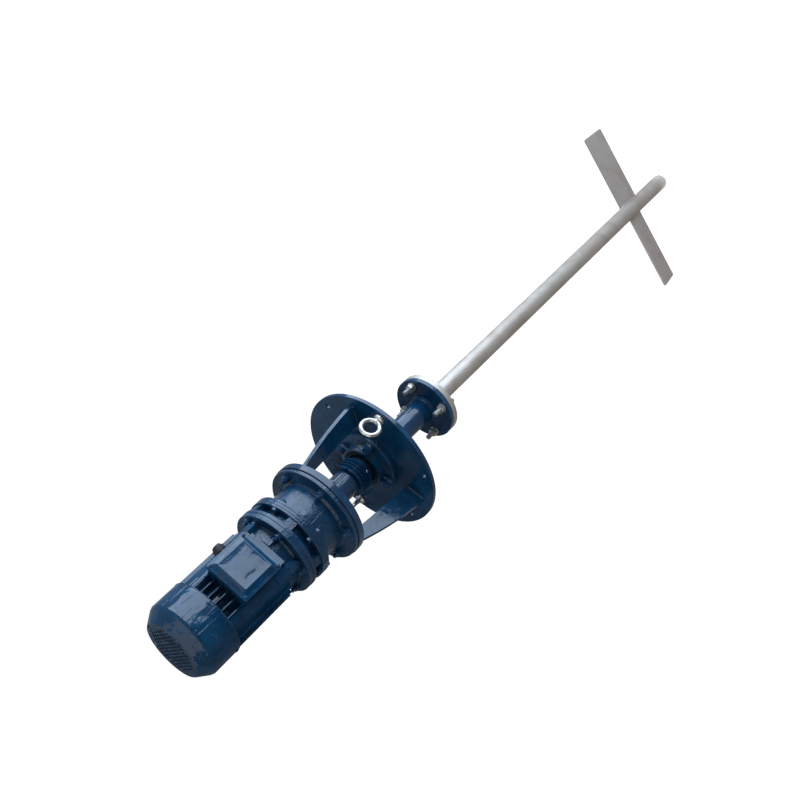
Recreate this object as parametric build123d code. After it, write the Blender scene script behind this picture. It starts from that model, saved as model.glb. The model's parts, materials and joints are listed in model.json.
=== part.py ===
from build123d import *
import math
import os

# A top-entry tank agitator: finned motor, cycloidal reducer, open stand, flange bearing, bolted shaft
# flanges, a long stainless shaft and two pitched paddles. Sizes are in millimetres. The origin is the
# centre of the mounting plate's underside and +Z runs up the drive axis towards the motor.

# Stand
plate_radius = 175.0
plate_thickness = 10.0
plate_bore_radius = 40.0
tank_hole_circle = 155.0
tank_hole_radius = 7.0
tank_hole_angle = 30.0
stand_height = 169.3
ring_thickness = 16.0
ring_lip = 1.9
ring_bore_radius = 82.5
gusset_count = 3
gusset_thickness = 10.0
gusset_foot_inner = 104.0
gusset_foot_outer = 153.0
gusset_head_inner = 90.0
gusset_head_inset = 1.4
gusset_bow = 5.0

# Lifting eyebolts
eyebolt_circle = 155.0
eyebolt_height = 31.5
eyebolt_wire_radius = 4.5
eyebolt_eye_radius = 20.0
eyebolt_collar_radius = 12.5
eyebolt_collar_height = 7.0
eyebolt_thread_radius = 5.0
eyebolt_rear_turn = 72.0

# Clocking of the whole drive unit about the axis, and the steps of its bolts
drive_clock = -7.0
flange_bolt_count = 6

# Reducer output flange and barrel
barrel_radius = 84.0
barrel_height = 66.7
barrel_base_swell = 5.0
barrel_base_height = 5.5
output_bolt_radius = 5.0
output_bolt_inset = 11.0
reducer_flange_edge = 16.5
reducer_flange_thickness = 8.5
reducer_seat_inset = 5.5
reducer_seat_height = 2.0
spigot_depth = 5.0

# Ring housing and motor adaptor
rim_bolt_radius = 4.0
rim_bolt_inset = 9.0
rim_edge = 7.5
housing_rim_thickness = 6.0
ring_rim_thickness = 7.5
adaptor_rim_thickness = 6.0
lantern_height = 21.0
lantern_inset = 1.0
block_edge = 9.5
block_width = 22.0
adaptor_top_thickness = 8.0
register_swell = 0.2
register_depth = 4.0

# Cycloid stage
lobe_count = 11
eccentricity = 2.5
pin_circle = 66.0
pin_radius = 5.5
mesh_clearance = 0.12
disc_thickness = 6.5
disc_spacing = 1.5
roller_circle = 38.0
roller_radius = 7.0
output_pin_radius = 5.0
output_pin_count = 6
disc_bore_radius = 22.0
eccentric_radius = 17.0
input_sleeve_radius = 15.0
input_bearing_radius = 31.0
input_bearing_width = 16.0

# Output shaft and its bearings
shaft_radius = 22.5
carrier_radius = 50.0
carrier_thickness = 9.0
output_bearing_radius = 42.5
output_bearing_width = 19.0
output_bearing_spread = 15.0
seal_radius = 34.0
shaft_joint_height = 127.5
shaft_joint_gap = 2.0

# Coupling sleeve, keys and locking collar
sleeve_radius = 31.0
sleeve_length = 78.0
slit_width = 2.0
slit_depth = 3.0
slit_start = 20.0
key_width = 14.0
key_height = 9.0
key_length = 28.0
collar_radius = 40.0
collar_height = 43.0
collar_length = 34.0
collar_groove_count = 3
collar_groove_depth = 3.0
collar_groove_width = 4.0

# Flange bearing on the mounting plate
bearing_flange_radius = 78.0
bearing_flange_thickness = 12.0
bearing_boss_radius = 54.0
bearing_boss_height = 30.0
bearing_bolt_circle = 65.0
bearing_bolt_radius = 6.0
insert_radius = 42.5
insert_width = 22.0
insert_inner_radius = 30.0
insert_inner_length = 36.0
ball_radius = 6.0
ball_count = 9

# Drop shaft, shaft flanges and impeller
drop_radius = 28.9
drop_length = 190.0
shaft_flange_radius = 79.5
drive_flange_thickness = 10.8
wet_flange_thickness = 14.7
shaft_bolt_circle = 62.5
shaft_bolt_radius = 6.0
shaft_bolt_count = 4
shaft_bolt_standout = 19.0
wet_shaft_radius = 22.7
wet_shaft_length = 1223.5
tip_round = 16.0
paddle_radius = 250.0
paddle_width = 74.0
paddle_thickness = 6.0
paddle_height_above_tip = 197.7
paddle_pitch = 81.0
paddle_azimuth = -38.4
paddle_corner = 5.0

# Motor
motor_flange_radius = 100.0
motor_flange_thickness = 12.0
bell_radius = 77.0
bell_height = 29.0
motor_bolt_circle = 88.0
motor_bolt_radius = 4.0
frame_length = 165.0
frame_core_radius = 66.0
frame_bore_radius = 58.0
fin_reach = 86.0
fin_pitch = 18.0
fin_thickness = 3.0
fins_per_side = 8
stator_inner_radius = 40.2
stator_length = 96.0
rotor_radius = 39.5
motor_shaft_radius = 12.0
motor_bearing_radius = 26.0
motor_bearing_width = 15.0
lug_angle = 45.0
lug_circle = 80.0
lug_radius = 9.0
lug_length = 22.0

# Fan cover and fan
cover_radius = 87.7
cover_overlap = 4.0
cover_length = 92.1
cover_shoulder_length = 30.0
cover_face_radius = 67.4
cover_wall = 2.0
grille_radius = 57.0
slot_width = 4.6
slot_length = 6.4
slot_step = 8.6
row_step = 9.6
fan_radius = 68.0
fan_blade_count = 8
fan_depth = 30.0

# Terminal box, measured from the motor axis
box_centre_from_frame = 74.0
box_width = 94.0
box_seat = 62.0
box_rim = 98.0
lid_side_overhang = 5.0
lid_end_overhang = 4.5
lid_thickness = 12.0
lid_panel_inset = 9.0
gasket_thickness = 1.5
box_wall = 4.0
terminal_block_width = 50.0
terminal_block_height = 34.0
terminal_block_depth = 10.0
gland_radius = 12.0
gland_bore_radius = 6.5
gland_length = 26.0
gland_spanner_room = 3.4

# Clearances
slide_clearance = 0.1
bolt_clearance = 0.5
thread_clearance = 0.05

# Radii and widths worked out from the sizes above
barrel_base_radius = barrel_radius + barrel_base_swell
output_bolt_circle = barrel_base_radius + output_bolt_inset
reducer_flange_radius = output_bolt_circle + reducer_flange_edge
reducer_seat_radius = reducer_flange_radius - reducer_seat_inset
ring_radius = reducer_flange_radius + ring_lip
gusset_head_outer = ring_radius - gusset_head_inset
rim_bolt_circle = barrel_radius + rim_bolt_inset
rim_radius = rim_bolt_circle + rim_edge
lantern_radius = barrel_radius - lantern_inset
register_radius = barrel_radius + register_swell
block_reach = motor_bolt_circle + block_edge
lid_width = box_width + 2 * lid_side_overhang
lid_height = box_width + 2 * lid_end_overhang

# Heights worked out from the sizes above
ring_low = plate_thickness + stand_height
ring_high = ring_low + ring_thickness
barrel_low = ring_high + reducer_seat_height + reducer_flange_thickness
housing_rim_low = barrel_low + barrel_height
ring_rim_low = housing_rim_low + housing_rim_thickness
adaptor_low = ring_rim_low + ring_rim_thickness
lantern_low = adaptor_low + adaptor_rim_thickness
lantern_high = lantern_low + lantern_height
motor_low = lantern_high + adaptor_top_thickness
bell_low = motor_low + motor_flange_thickness
frame_low = bell_low + bell_height
frame_high = frame_low + frame_length
core_low = ring_rim_low - register_depth
core_high = adaptor_low + register_depth
carrier_high = core_low - 1.0
carrier_low = carrier_high - carrier_thickness
upper_bearing_low = carrier_low - 1.0 - output_bearing_width
lower_bearing_low = upper_bearing_low - output_bearing_spread - output_bearing_width
input_bearing_low = lantern_low + 2.0
collar_low = plate_thickness + collar_height
sleeve_low = collar_low + collar_length
sleeve_high = sleeve_low + sleeve_length
drop_high = -6.0
drive_flange_high = drop_high - drop_length
drive_flange_low = drive_flange_high - drive_flange_thickness
wet_flange_low = drive_flange_low - wet_flange_thickness
tip_low = wet_flange_low - wet_shaft_length
paddle_centre = tip_low + paddle_height_above_tip
box_centre = frame_low + box_centre_from_frame
cover_low = frame_high - cover_overlap
cover_high = cover_low + cover_length

os.makedirs("parts", exist_ok=True)


def save(name, *solids):
    """Write one node; several like pieces go in as separate solids."""
    shape = solids[0] if len(solids) == 1 else Compound(children=list(solids))
    export_step(shape, f"parts/{name}.step")


def disc(radius, low, high):
    """A disc about the drive axis between two heights."""
    return Pos(0, 0, low) * Cylinder(radius, high - low, align=(Align.CENTER, Align.CENTER, Align.MIN))


def ring(outer, inner, low, high):
    """A flat ring about the drive axis between two heights."""
    return disc(outer, low, high) - disc(inner, low, high)


def turned(points):
    """A solid turned about the drive axis from (radius, height) corners."""
    outline = Polyline(*[(radius, 0, height) for radius, height in points], close=True)
    return revolve(make_face(outline), Axis.Z)


def at(radius, angle, shape):
    """A shape moved out from the axis and turned round to an angle."""
    return Rot(0, 0, angle) * Pos(radius, 0, 0) * shape


def circle_of(shape, radius, count, start=0.0):
    """Like shapes spaced evenly on a circle about the axis."""
    return [at(radius, start + 360.0 * i / count, shape) for i in range(count)]


def drill(body, holes):
    """Take a list of shapes out of a body."""
    for hole in holes:
        body = body - hole
    return body


def hexagon(across_flats, low, high):
    """A hexagonal prism along Z."""
    prism = extrude(RegularPolygon(across_flats / 2, 6, major_radius=False), high - low)
    return Pos(0, 0, low) * prism


def crowned_hexagon(across_flats, low, high):
    """A hexagon whose outer corners are turned off at the top, like a bolt head."""
    crown = turned([(0, low), (across_flats * 0.6, low), (across_flats * 0.6, high - across_flats * 0.08),
                    (across_flats * 0.46, high), (0, high)])
    return hexagon(across_flats, low, high) & crown


def hex_bolt(radius, seat, end, washer=True):
    """A bolt with its head above the seat and its shank down to the end height."""
    washer_height = radius * 0.4 if washer else 0.0
    head_low = seat + washer_height
    across_flats = radius * 3.1
    bolt = crowned_hexagon(across_flats, head_low, head_low + radius * 1.3)
    bolt = bolt + disc(radius, end, head_low)
    if washer:
        bolt = bolt + disc(radius * 1.95, seat, head_low)
    return bolt


def hex_nut(radius, seat, washer=True):
    """A nut with its washer, standing on the seat height and bored for its bolt."""
    washer_height = radius * 0.4 if washer else 0.0
    nut = crowned_hexagon(radius * 3.1, seat + washer_height, seat + washer_height + radius * 1.6)
    if washer:
        nut = nut + disc(radius * 1.95, seat, seat + washer_height)
    return nut - disc(radius + thread_clearance, seat - 1.0, seat + washer_height + radius * 2.0)


def upside_down(shape, height):
    """Turn a shape over about a horizontal line at a height."""
    return Pos(0, 0, height) * Rot(180, 0, 0) * Pos(0, 0, -height) * shape


def clocked(shape):
    """Turn a piece of the drive unit to its place round the axis."""
    return Rot(0, 0, drive_clock) * shape


def save_drive(name, *solids):
    """Write a node of the drive unit, turned to its clocking."""
    save(name, *[clocked(solid) for solid in solids])


def tank_hole_angles():
    """The four tank holes, on the corners of a rectangle."""
    return [tank_hole_angle, 180.0 - tank_hole_angle, 180.0 + tank_hole_angle, -tank_hole_angle]


def mounting_plate():
    """The round base plate that bolts to the tank nozzle."""
    plate = ring(plate_radius, plate_bore_radius, 0, plate_thickness)
    plate = chamfer(plate.edges().filter_by(GeomType.CIRCLE).sort_by(SortBy.RADIUS)[-2:], 0.8)
    hole = disc(tank_hole_radius, 0, plate_thickness)
    plate = drill(plate, [at(tank_hole_circle, angle, hole) for angle in tank_hole_angles()])
    eye_hole = disc(eyebolt_thread_radius + thread_clearance, 0, plate_thickness)
    plate = drill(plate, circle_of(eye_hole, eyebolt_circle, 2, 90.0))
    tapping = disc(bearing_bolt_radius + thread_clearance, 0, plate_thickness)
    return drill(plate, circle_of(tapping, bearing_bolt_circle, 4))


def gusset():
    """One upright web between the base plate and the top ring, bowed along its outer edge."""
    foot_out = (gusset_foot_outer, plate_thickness)
    head_out = (gusset_head_outer, ring_low)
    middle = ((foot_out[0] + head_out[0]) / 2 + gusset_bow, (foot_out[1] + head_out[1]) / 2)
    edges = [
        Line((gusset_foot_inner, plate_thickness), foot_out),
        ThreePointArc(foot_out, middle, head_out),
        Line(head_out, (gusset_head_inner, ring_low)),
        Line((gusset_head_inner, ring_low), (gusset_foot_inner, plate_thickness)),
    ]
    web = extrude(Plane.XZ * make_face(edges), gusset_thickness / 2, both=True)
    return web


def stand_ring():
    """The top ring that carries the reducer."""
    body = ring(ring_radius, ring_bore_radius, ring_low, ring_high)
    body = chamfer(body.edges().filter_by(GeomType.CIRCLE).sort_by(SortBy.RADIUS)[-2:], 0.8)
    hole = disc(output_bolt_radius + bolt_clearance, ring_low, ring_high)
    holes = circle_of(hole, output_bolt_circle, flange_bolt_count, 30.0)
    return drill(body, [clocked(hole) for hole in holes])


def eyebolt():
    """A lifting eyebolt: round eye on a turned collar, with its thread in the plate."""
    eye_height = plate_thickness + eyebolt_height
    eye = Pos(0, 0, eye_height) * Rot(90, 0, 0) * Torus(eyebolt_eye_radius, eyebolt_wire_radius)
    collar_high = plate_thickness + eyebolt_collar_height
    neck_low = eye_height - eyebolt_eye_radius
    collar = turned([
        (0, plate_thickness), (eyebolt_collar_radius, plate_thickness),
        (eyebolt_collar_radius, collar_high - 2.0), (eyebolt_collar_radius - 2.5, collar_high),
        (eyebolt_wire_radius * 1.3, max(neck_low, collar_high + 0.5)), (0, max(neck_low, collar_high + 0.5)),
    ])
    thread = disc(eyebolt_thread_radius, 0, plate_thickness)
    return eye + collar + thread


def bearing_housing():
    """Round four-bolt flange bearing housing with a domed boss round the insert."""
    low = plate_thickness
    flange_high = low + bearing_flange_thickness
    boss_high = low + bearing_boss_height
    body = turned([
        (insert_radius - 4.0, low), (bearing_flange_radius, low), (bearing_flange_radius, flange_high - 2.0),
        (bearing_flange_radius - 2.0, flange_high), (bearing_boss_radius + 12.0, flange_high),
        (bearing_boss_radius + 3.0, flange_high + 7.0), (bearing_boss_radius, boss_high - 3.0),
        (bearing_boss_radius - 3.0, boss_high), (insert_radius + slide_clearance, boss_high),
        (insert_radius + slide_clearance, insert_low()), (insert_radius - 4.0, insert_low()),
    ])
    hole = disc(bearing_bolt_radius + bolt_clearance, low, flange_high)
    spot_face = disc(bearing_bolt_radius * 2.2, flange_high, boss_high)
    body = drill(body, circle_of(hole, bearing_bolt_circle, 4))
    return drill(body, circle_of(spot_face, bearing_bolt_circle, 4))


def insert_low():
    """Underside of the bearing insert's outer ring."""
    return plate_thickness + bearing_boss_height - insert_width - 2.0


def bearing_insert():
    """Outer ring, inner ring and balls of the flange bearing."""
    low = insert_low()
    high = low + insert_width
    middle = (low + high) / 2
    track = (insert_radius + insert_inner_radius) / 2
    groove = Pos(0, 0, middle) * Torus(track, ball_radius + slide_clearance / 2)
    outer = ring(insert_radius, insert_radius - 5.0, low, high) - groove
    inner_low = middle - insert_inner_length * 0.4
    inner = ring(insert_inner_radius + 2.0, shaft_radius, inner_low, inner_low + insert_inner_length) - groove
    ball = Pos(0, 0, middle) * Sphere(ball_radius)
    return outer, inner, circle_of(ball, track, ball_count)


def ball_bearing(outer_radius, inner_radius, low, width):
    """Outer and inner ring of a sealed deep-groove bearing, with its shield faces between."""
    wall = (outer_radius - inner_radius) * 0.28
    outer = ring(outer_radius, outer_radius - wall, low, low + width)
    inner = ring(inner_radius + wall, inner_radius, low, low + width)
    track = (outer_radius + inner_radius) / 2
    ball = (outer_radius - inner_radius) / 2 - wall - slide_clearance
    balls = circle_of(Pos(0, 0, low + width / 2) * Sphere(ball), track, ball_count)
    return outer, inner, balls


def gearbox_housing():
    """Cast barrel with its output flange, spigot, bearing seats and carrier pocket."""
    spigot_low = ring_high - spigot_depth
    seat_high = ring_high + reducer_seat_height
    bearing_bore = output_bearing_radius + slide_clearance
    shoulder = output_bearing_radius - 5.0
    body = turned([
        (bearing_bore, spigot_low), (ring_bore_radius - slide_clearance, spigot_low),
        (ring_bore_radius - slide_clearance, ring_high), (reducer_seat_radius, ring_high),
        (reducer_seat_radius, seat_high), (reducer_flange_radius, seat_high),
        (reducer_flange_radius, barrel_low - 1.0), (reducer_flange_radius - 1.0, barrel_low),
        (barrel_base_radius, barrel_low), (barrel_radius, barrel_low + barrel_base_height),
        (barrel_radius, housing_rim_low - 3.0), (barrel_radius + 1.0, housing_rim_low),
        (rim_radius, housing_rim_low), (rim_radius, ring_rim_low - 0.6), (rim_radius - 0.6, ring_rim_low),
        (register_radius, ring_rim_low), (register_radius, core_low), (carrier_radius + 2.0, core_low),
        (carrier_radius + 2.0, carrier_low - 1.0), (bearing_bore, carrier_low - 1.0),
        (bearing_bore, upper_bearing_low), (shoulder, upper_bearing_low),
        (shoulder, lower_bearing_low + output_bearing_width), (bearing_bore, lower_bearing_low
                                                                + output_bearing_width),
    ])
    hole = disc(output_bolt_radius + bolt_clearance, ring_high, barrel_low)
    body = drill(body, circle_of(hole, output_bolt_circle, flange_bolt_count, 30.0))
    hole = disc(rim_bolt_radius + bolt_clearance, housing_rim_low, ring_rim_low)
    body = drill(body, circle_of(hole, rim_bolt_circle, flange_bolt_count))
    boss = at(barrel_radius - 3.0, -90.0, Pos(0, 0, oil_plug_height()) * Rot(0, 90, 0)
              * Cylinder(9.0, 6.0, align=(Align.CENTER, Align.CENTER, Align.MIN)))
    bore = at(barrel_radius - 10.0, -90.0, Pos(0, 0, oil_plug_height()) * Rot(0, 90, 0)
              * Cylinder(5.0 + thread_clearance, 20.0, align=(Align.CENTER, Align.CENTER, Align.MIN)))
    return body + boss - bore


def oil_plug_height():
    """Height of the oil plug on the barrel."""
    return housing_rim_low - 11.0


def oil_plug():
    """Threaded plug with a small hexagon, lying across the barrel wall."""
    head = hexagon(13.0, 0, 3.0)
    plug = head + Pos(0, 0, -8.0) * Cylinder(5.0, 8.0, align=(Align.CENTER, Align.CENTER, Align.MIN))
    return at(barrel_radius + 3.0, -90.0, Pos(0, 0, oil_plug_height()) * Rot(0, 90, 0) * plug)


def seal_cover():
    """Ring that closes the barrel's lower end round the oil seal."""
    return ring(output_bearing_radius, seal_radius, ring_high - spigot_depth, lower_bearing_low)


def oil_seal():
    """Lip seal round the output shaft."""
    low = ring_high - spigot_depth
    return turned([
        (shaft_radius + 0.05, low + 3.0), (shaft_radius + 5.0, low), (seal_radius - slide_clearance, low),
        (seal_radius - slide_clearance, low + 9.0), (shaft_radius + 4.0, low + 9.0),
        (shaft_radius + 4.0, low + 5.0),
    ])


def ring_gear():
    """Ring housing between the two rims, with half-round seats for the ring pins."""
    body = turned([
        (pin_circle, core_low), (register_radius - slide_clearance, core_low),
        (register_radius - slide_clearance, ring_rim_low), (rim_radius - 0.6, ring_rim_low),
        (rim_radius, ring_rim_low + 0.6), (rim_radius, adaptor_low - 0.6), (rim_radius - 0.6, adaptor_low),
        (register_radius - slide_clearance, adaptor_low), (register_radius - slide_clearance, core_high),
        (pin_circle, core_high),
    ])
    seat = disc(pin_radius + thread_clearance, core_low, core_high)
    body = drill(body, circle_of(seat, pin_circle, lobe_count + 1))
    hole = disc(rim_bolt_radius + bolt_clearance, ring_rim_low, adaptor_low)
    return drill(body, circle_of(hole, rim_bolt_circle, flange_bolt_count))


def ring_pins():
    """The fixed pins that the cycloid discs roll round."""
    pin = disc(pin_radius, core_low + 0.1, core_high - 0.1)
    return circle_of(pin, pin_circle, lobe_count + 1)


def cycloid_outline(steps_per_lobe=10):
    """Closed curve that keeps touch with every ring pin as the disc rolls round inside them."""
    pins = lobe_count + 1
    reach = pin_radius + mesh_clearance
    points = []
    for step in range(lobe_count * steps_per_lobe):
        turn = 2 * math.pi * step / (lobe_count * steps_per_lobe)
        lean = math.atan2(math.sin((1 - pins) * turn),
                          pin_circle / (eccentricity * pins) - math.cos((1 - pins) * turn))
        along = pin_circle * math.cos(turn) - eccentricity * math.cos(pins * turn)
        across = pin_circle * math.sin(turn) - eccentricity * math.sin(pins * turn)
        points.append((along - reach * math.cos(turn + lean), reach * math.sin(turn + lean) - across))
    return Spline(*points, periodic=True)


def cycloid_disc(low):
    """A lobed disc set off from the axis towards +X, bored for its bearing and the output rollers."""
    body = Pos(0, 0, low) * extrude(make_face(cycloid_outline()), disc_thickness)
    high = low + disc_thickness
    body = body - disc(disc_bore_radius + slide_clearance, low, high)
    roller_hole = disc(roller_radius + eccentricity + mesh_clearance, low, high)
    body = drill(body, circle_of(roller_hole, roller_circle, output_pin_count))
    return Pos(eccentricity, 0, 0) * body


def disc_low(index):
    """Underside of the lower (0) or upper (1) cycloid disc."""
    spare = core_high - core_low - 2 * disc_thickness - disc_spacing
    return core_low + spare / 2 + index * (disc_thickness + disc_spacing)


def opposite(shape):
    """Half a turn about the axis."""
    return Rot(0, 0, 180) * shape


def eccentric_bearings():
    """Roller rings between the input sleeve's eccentrics and the discs."""
    rings = []
    for index in (0, 1):
        low = disc_low(index)
        roller_ring = Pos(eccentricity, 0, 0) * ring(disc_bore_radius, eccentric_radius + slide_clearance,
                                                    low, low + disc_thickness)
        rings.append(roller_ring if index == 0 else opposite(roller_ring))
    return rings


def input_sleeve():
    """Hollow input sleeve with its two opposed eccentrics, driven by the motor shaft."""
    high = input_bearing_low + input_bearing_width + 6.0
    body = disc(input_sleeve_radius - 1.0, core_low, high)
    body = body + disc(input_sleeve_radius, input_bearing_low, high)
    for index in (0, 1):
        low = disc_low(index)
        cam = Pos(eccentricity, 0, 0) * disc(eccentric_radius, low, low + disc_thickness)
        body = body + (cam if index == 0 else opposite(cam))
    return body - disc(motor_shaft_radius + slide_clearance, core_low - 1.0, high)


def input_bearing():
    """Bearing that carries the input sleeve in the adaptor."""
    return ball_bearing(input_bearing_radius, input_sleeve_radius + 0.05, input_bearing_low,
                        input_bearing_width)


def motor_adaptor():
    """Cast lantern between the reducer and the motor: two rims joined by a drum and six blocks."""
    body = turned([
        (input_bearing_radius - 4.0, core_high), (register_radius, core_high),
        (register_radius, adaptor_low), (rim_radius - 0.6, adaptor_low), (rim_radius, adaptor_low + 0.6),
        (rim_radius, lantern_low - 0.6), (rim_radius - 0.6, lantern_low), (lantern_radius, lantern_low),
        (lantern_radius, lantern_high), (rim_radius, lantern_high), (rim_radius, motor_low - 0.6),
        (rim_radius - 0.6, motor_low), (bell_radius - 20.0, motor_low),
        (bell_radius - 20.0, input_bearing_low + input_bearing_width + 4.0),
        (input_bearing_radius + slide_clearance, input_bearing_low + input_bearing_width + 4.0),
        (input_bearing_radius + slide_clearance, input_bearing_low),
        (input_bearing_radius - 4.0, input_bearing_low),
    ])
    block = Pos(lantern_radius - 4.0, 0, lantern_low) * Box(
        block_reach - lantern_radius + 4.0, block_width, lantern_height,
        align=(Align.MIN, Align.CENTER, Align.MIN))
    for angle_index in range(flange_bolt_count):
        body = body + Rot(0, 0, 30.0 + 60.0 * angle_index) * block
    hole = disc(motor_bolt_radius + thread_clearance, lantern_high - 12.0, motor_low)
    body = drill(body, circle_of(hole, motor_bolt_circle, flange_bolt_count, 30.0))
    hole = disc(rim_bolt_radius + bolt_clearance, adaptor_low, lantern_low)
    return drill(body, circle_of(hole, rim_bolt_circle, flange_bolt_count))


def output_shaft():
    """Reducer output shaft with its carrier disc and keyway."""
    low = shaft_joint_height + shaft_joint_gap / 2
    body = turned([
        (0, low), (shaft_radius - 1.0, low), (shaft_radius, low + 1.0), (shaft_radius, carrier_low),
        (carrier_radius, carrier_low), (carrier_radius, carrier_high - 1.0),
        (carrier_radius - 1.0, carrier_high), (0, carrier_high),
    ])
    socket = disc(output_pin_radius + thread_clearance, carrier_low, carrier_high)
    body = drill(body, circle_of(socket, roller_circle, output_pin_count))
    return body - keyway(low, low + key_length)


def keyway(low, high):
    """Space for a key let into a shaft on its +X side."""
    return Pos(shaft_radius - key_height * 0.6, 0, low) * Box(
        key_height, key_width + 0.1, high - low, align=(Align.MIN, Align.CENTER, Align.MIN))


def shaft_keys():
    """A parallel key in each shaft end."""
    upper = shaft_joint_height + shaft_joint_gap / 2
    lower = shaft_joint_height - shaft_joint_gap / 2 - key_length
    return [Pos(shaft_radius - key_height * 0.6 + 0.05, 0, low + 0.5) * Box(
        key_height - 0.5, key_width, key_length - 1.0, align=(Align.MIN, Align.CENTER, Align.MIN))
        for low in (upper, lower)]


def output_pins():
    """Carrier pins that reach up through both discs."""
    pin = disc(output_pin_radius, carrier_low + 0.5, core_high - 0.5)
    return circle_of(pin, roller_circle, output_pin_count)


def output_rollers():
    """Loose rollers on the carrier pins."""
    roller = ring(roller_radius, output_pin_radius + thread_clearance, disc_low(0),
                  disc_low(1) + disc_thickness)
    return circle_of(roller, roller_circle, output_pin_count)


def coupling_sleeve():
    """Keyed sleeve that joins the reducer shaft to the drop shaft, slit at its lower end."""
    body = ring(sleeve_radius, shaft_radius + thread_clearance, sleeve_low, sleeve_high)
    body = chamfer(body.edges().filter_by(GeomType.CIRCLE).sort_by(SortBy.RADIUS)[-2:], 1.0)
    slit = Pos(sleeve_radius - slit_depth, 0, sleeve_low) * Box(
        slit_depth + 1.0, slit_width, sleeve_length - slit_start, align=(Align.MIN, Align.CENTER, Align.MIN))
    body = drill(body, [Rot(0, 0, 27.0 + 90.0 * i) * slit for i in range(4)])
    slot = Pos(0, 0, sleeve_low) * Box(
        shaft_radius + key_height * 0.4, key_width + 0.1, sleeve_length,
        align=(Align.MIN, Align.CENTER, Align.MIN))
    screw_hole = Pos(0, 0, sleeve_low + sleeve_length * 0.8) * Rot(0, -90, 0) * Cylinder(
        3.0 + thread_clearance, sleeve_radius + 5.0, align=(Align.CENTER, Align.CENTER, Align.MIN))
    return body - slot - screw_hole


def sleeve_screw():
    """Grub screw that holds the sleeve on the reducer shaft."""
    screw = Pos(0, 0, shaft_radius + 0.1) * Cylinder(
        3.0, sleeve_radius - shaft_radius - 0.6, align=(Align.CENTER, Align.CENTER, Align.MIN))
    return Pos(0, 0, sleeve_low + sleeve_length * 0.8) * Rot(0, -90, 0) * screw


def locking_collar():
    """Grooved collar clamped on the drop shaft above the flange bearing."""
    body = ring(collar_radius, shaft_radius + thread_clearance, collar_low, sleeve_low)
    pitch = collar_length / (collar_groove_count + 1)
    for index in range(collar_groove_count):
        middle = collar_low + pitch * (index + 1)
        body = body - ring(collar_radius + 1.0, collar_radius - collar_groove_depth,
                           middle - collar_groove_width / 2, middle + collar_groove_width / 2)
    screw_hole = Cylinder(3.0 + thread_clearance, collar_radius + 5.0,
                          align=(Align.CENTER, Align.CENTER, Align.MIN))
    return body - collar_screw_place(screw_hole)


def collar_screw_place(shape):
    """Lay a shape made along Z across the collar, from the axis out."""
    return Rot(0, 0, 60.0) * Pos(0, 0, collar_low + 4.0) * Rot(0, -90, 0) * shape


def collar_screw():
    """Grub screw of the locking collar, standing a little proud."""
    screw = Pos(0, 0, shaft_radius + 0.1) * Cylinder(
        3.0, collar_radius - shaft_radius + 1.0, align=(Align.CENTER, Align.CENTER, Align.MIN))
    return collar_screw_place(screw)


def drop_shaft():
    """Shaft from the coupling through the flange bearing, thicker below the plate."""
    high = shaft_joint_height - shaft_joint_gap / 2
    body = turned([
        (0, drive_flange_low + 1.5), (drop_radius, drive_flange_low + 1.5), (drop_radius, drop_high - 2.0),
        (drop_radius - 2.0, drop_high), (shaft_radius - 0.05, drop_high), (shaft_radius - 0.05, high - 1.0),
        (shaft_radius - 1.0, high), (0, high),
    ])
    return body - keyway(high - key_length, high)


def shaft_bolt_holes(low, high):
    """Clearance holes of the two shaft flanges."""
    hole = disc(shaft_bolt_radius + bolt_clearance, low, high)
    return circle_of(hole, shaft_bolt_circle, shaft_bolt_count, 45.0)


def drive_flange():
    """Flange welded on the lower end of the drop shaft, with its weld collar."""
    bore = drop_radius + slide_clearance
    body = turned([
        (bore, drive_flange_low), (shaft_flange_radius, drive_flange_low),
        (shaft_flange_radius, drive_flange_high - 1.0), (shaft_flange_radius - 1.0, drive_flange_high),
        (drop_radius + 7.0, drive_flange_high), (drop_radius + 1.5, drive_flange_high + 7.0),
        (bore, drive_flange_high + 7.0),
    ])
    return drill(body, shaft_bolt_holes(drive_flange_low, drive_flange_high))


def wet_flange():
    """Stainless flange welded on the head of the long shaft."""
    bore = wet_shaft_radius + slide_clearance
    body = turned([
        (bore, wet_flange_low - 6.0), (wet_shaft_radius + 1.5, wet_flange_low - 6.0),
        (wet_shaft_radius + 6.0, wet_flange_low), (shaft_flange_radius - 1.0, wet_flange_low),
        (shaft_flange_radius, wet_flange_low + 1.0), (shaft_flange_radius, drive_flange_low),
        (bore, drive_flange_low),
    ])
    return drill(body, shaft_bolt_holes(wet_flange_low, drive_flange_low))


def wet_shaft():
    """Long stainless shaft with a rounded lower end."""
    high = drive_flange_low - 1.5
    round_centre = tip_low + tip_round
    edges = [
        Line((0, high), (0, tip_low)),
        Line((0, tip_low), (wet_shaft_radius - tip_round, tip_low)),
        RadiusArc((wet_shaft_radius - tip_round, tip_low), (wet_shaft_radius, round_centre), -tip_round),
        Line((wet_shaft_radius, round_centre), (wet_shaft_radius, high)),
        Line((wet_shaft_radius, high), (0, high)),
    ]
    return revolve(Plane.XZ * make_face(edges), Axis.Z)


def paddle():
    """Flat pitched blade, fitted to the shaft and rounded at its outer corners."""
    blade = Rot(90, 0, 0) * extrude(Pos(paddle_radius / 2, 0) * Rectangle(paddle_radius, paddle_width),
                                    paddle_thickness / 2, both=True)
    corners = blade.edges().filter_by(Axis.Y).group_by(Axis.X)[-1]
    blade = fillet(corners, paddle_corner)
    blade = Rot(paddle_pitch - 90.0, 0, 0) * blade
    blade = Pos(0, 0, paddle_centre) * blade
    return blade - disc(wet_shaft_radius, tip_low, drive_flange_low)


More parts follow.
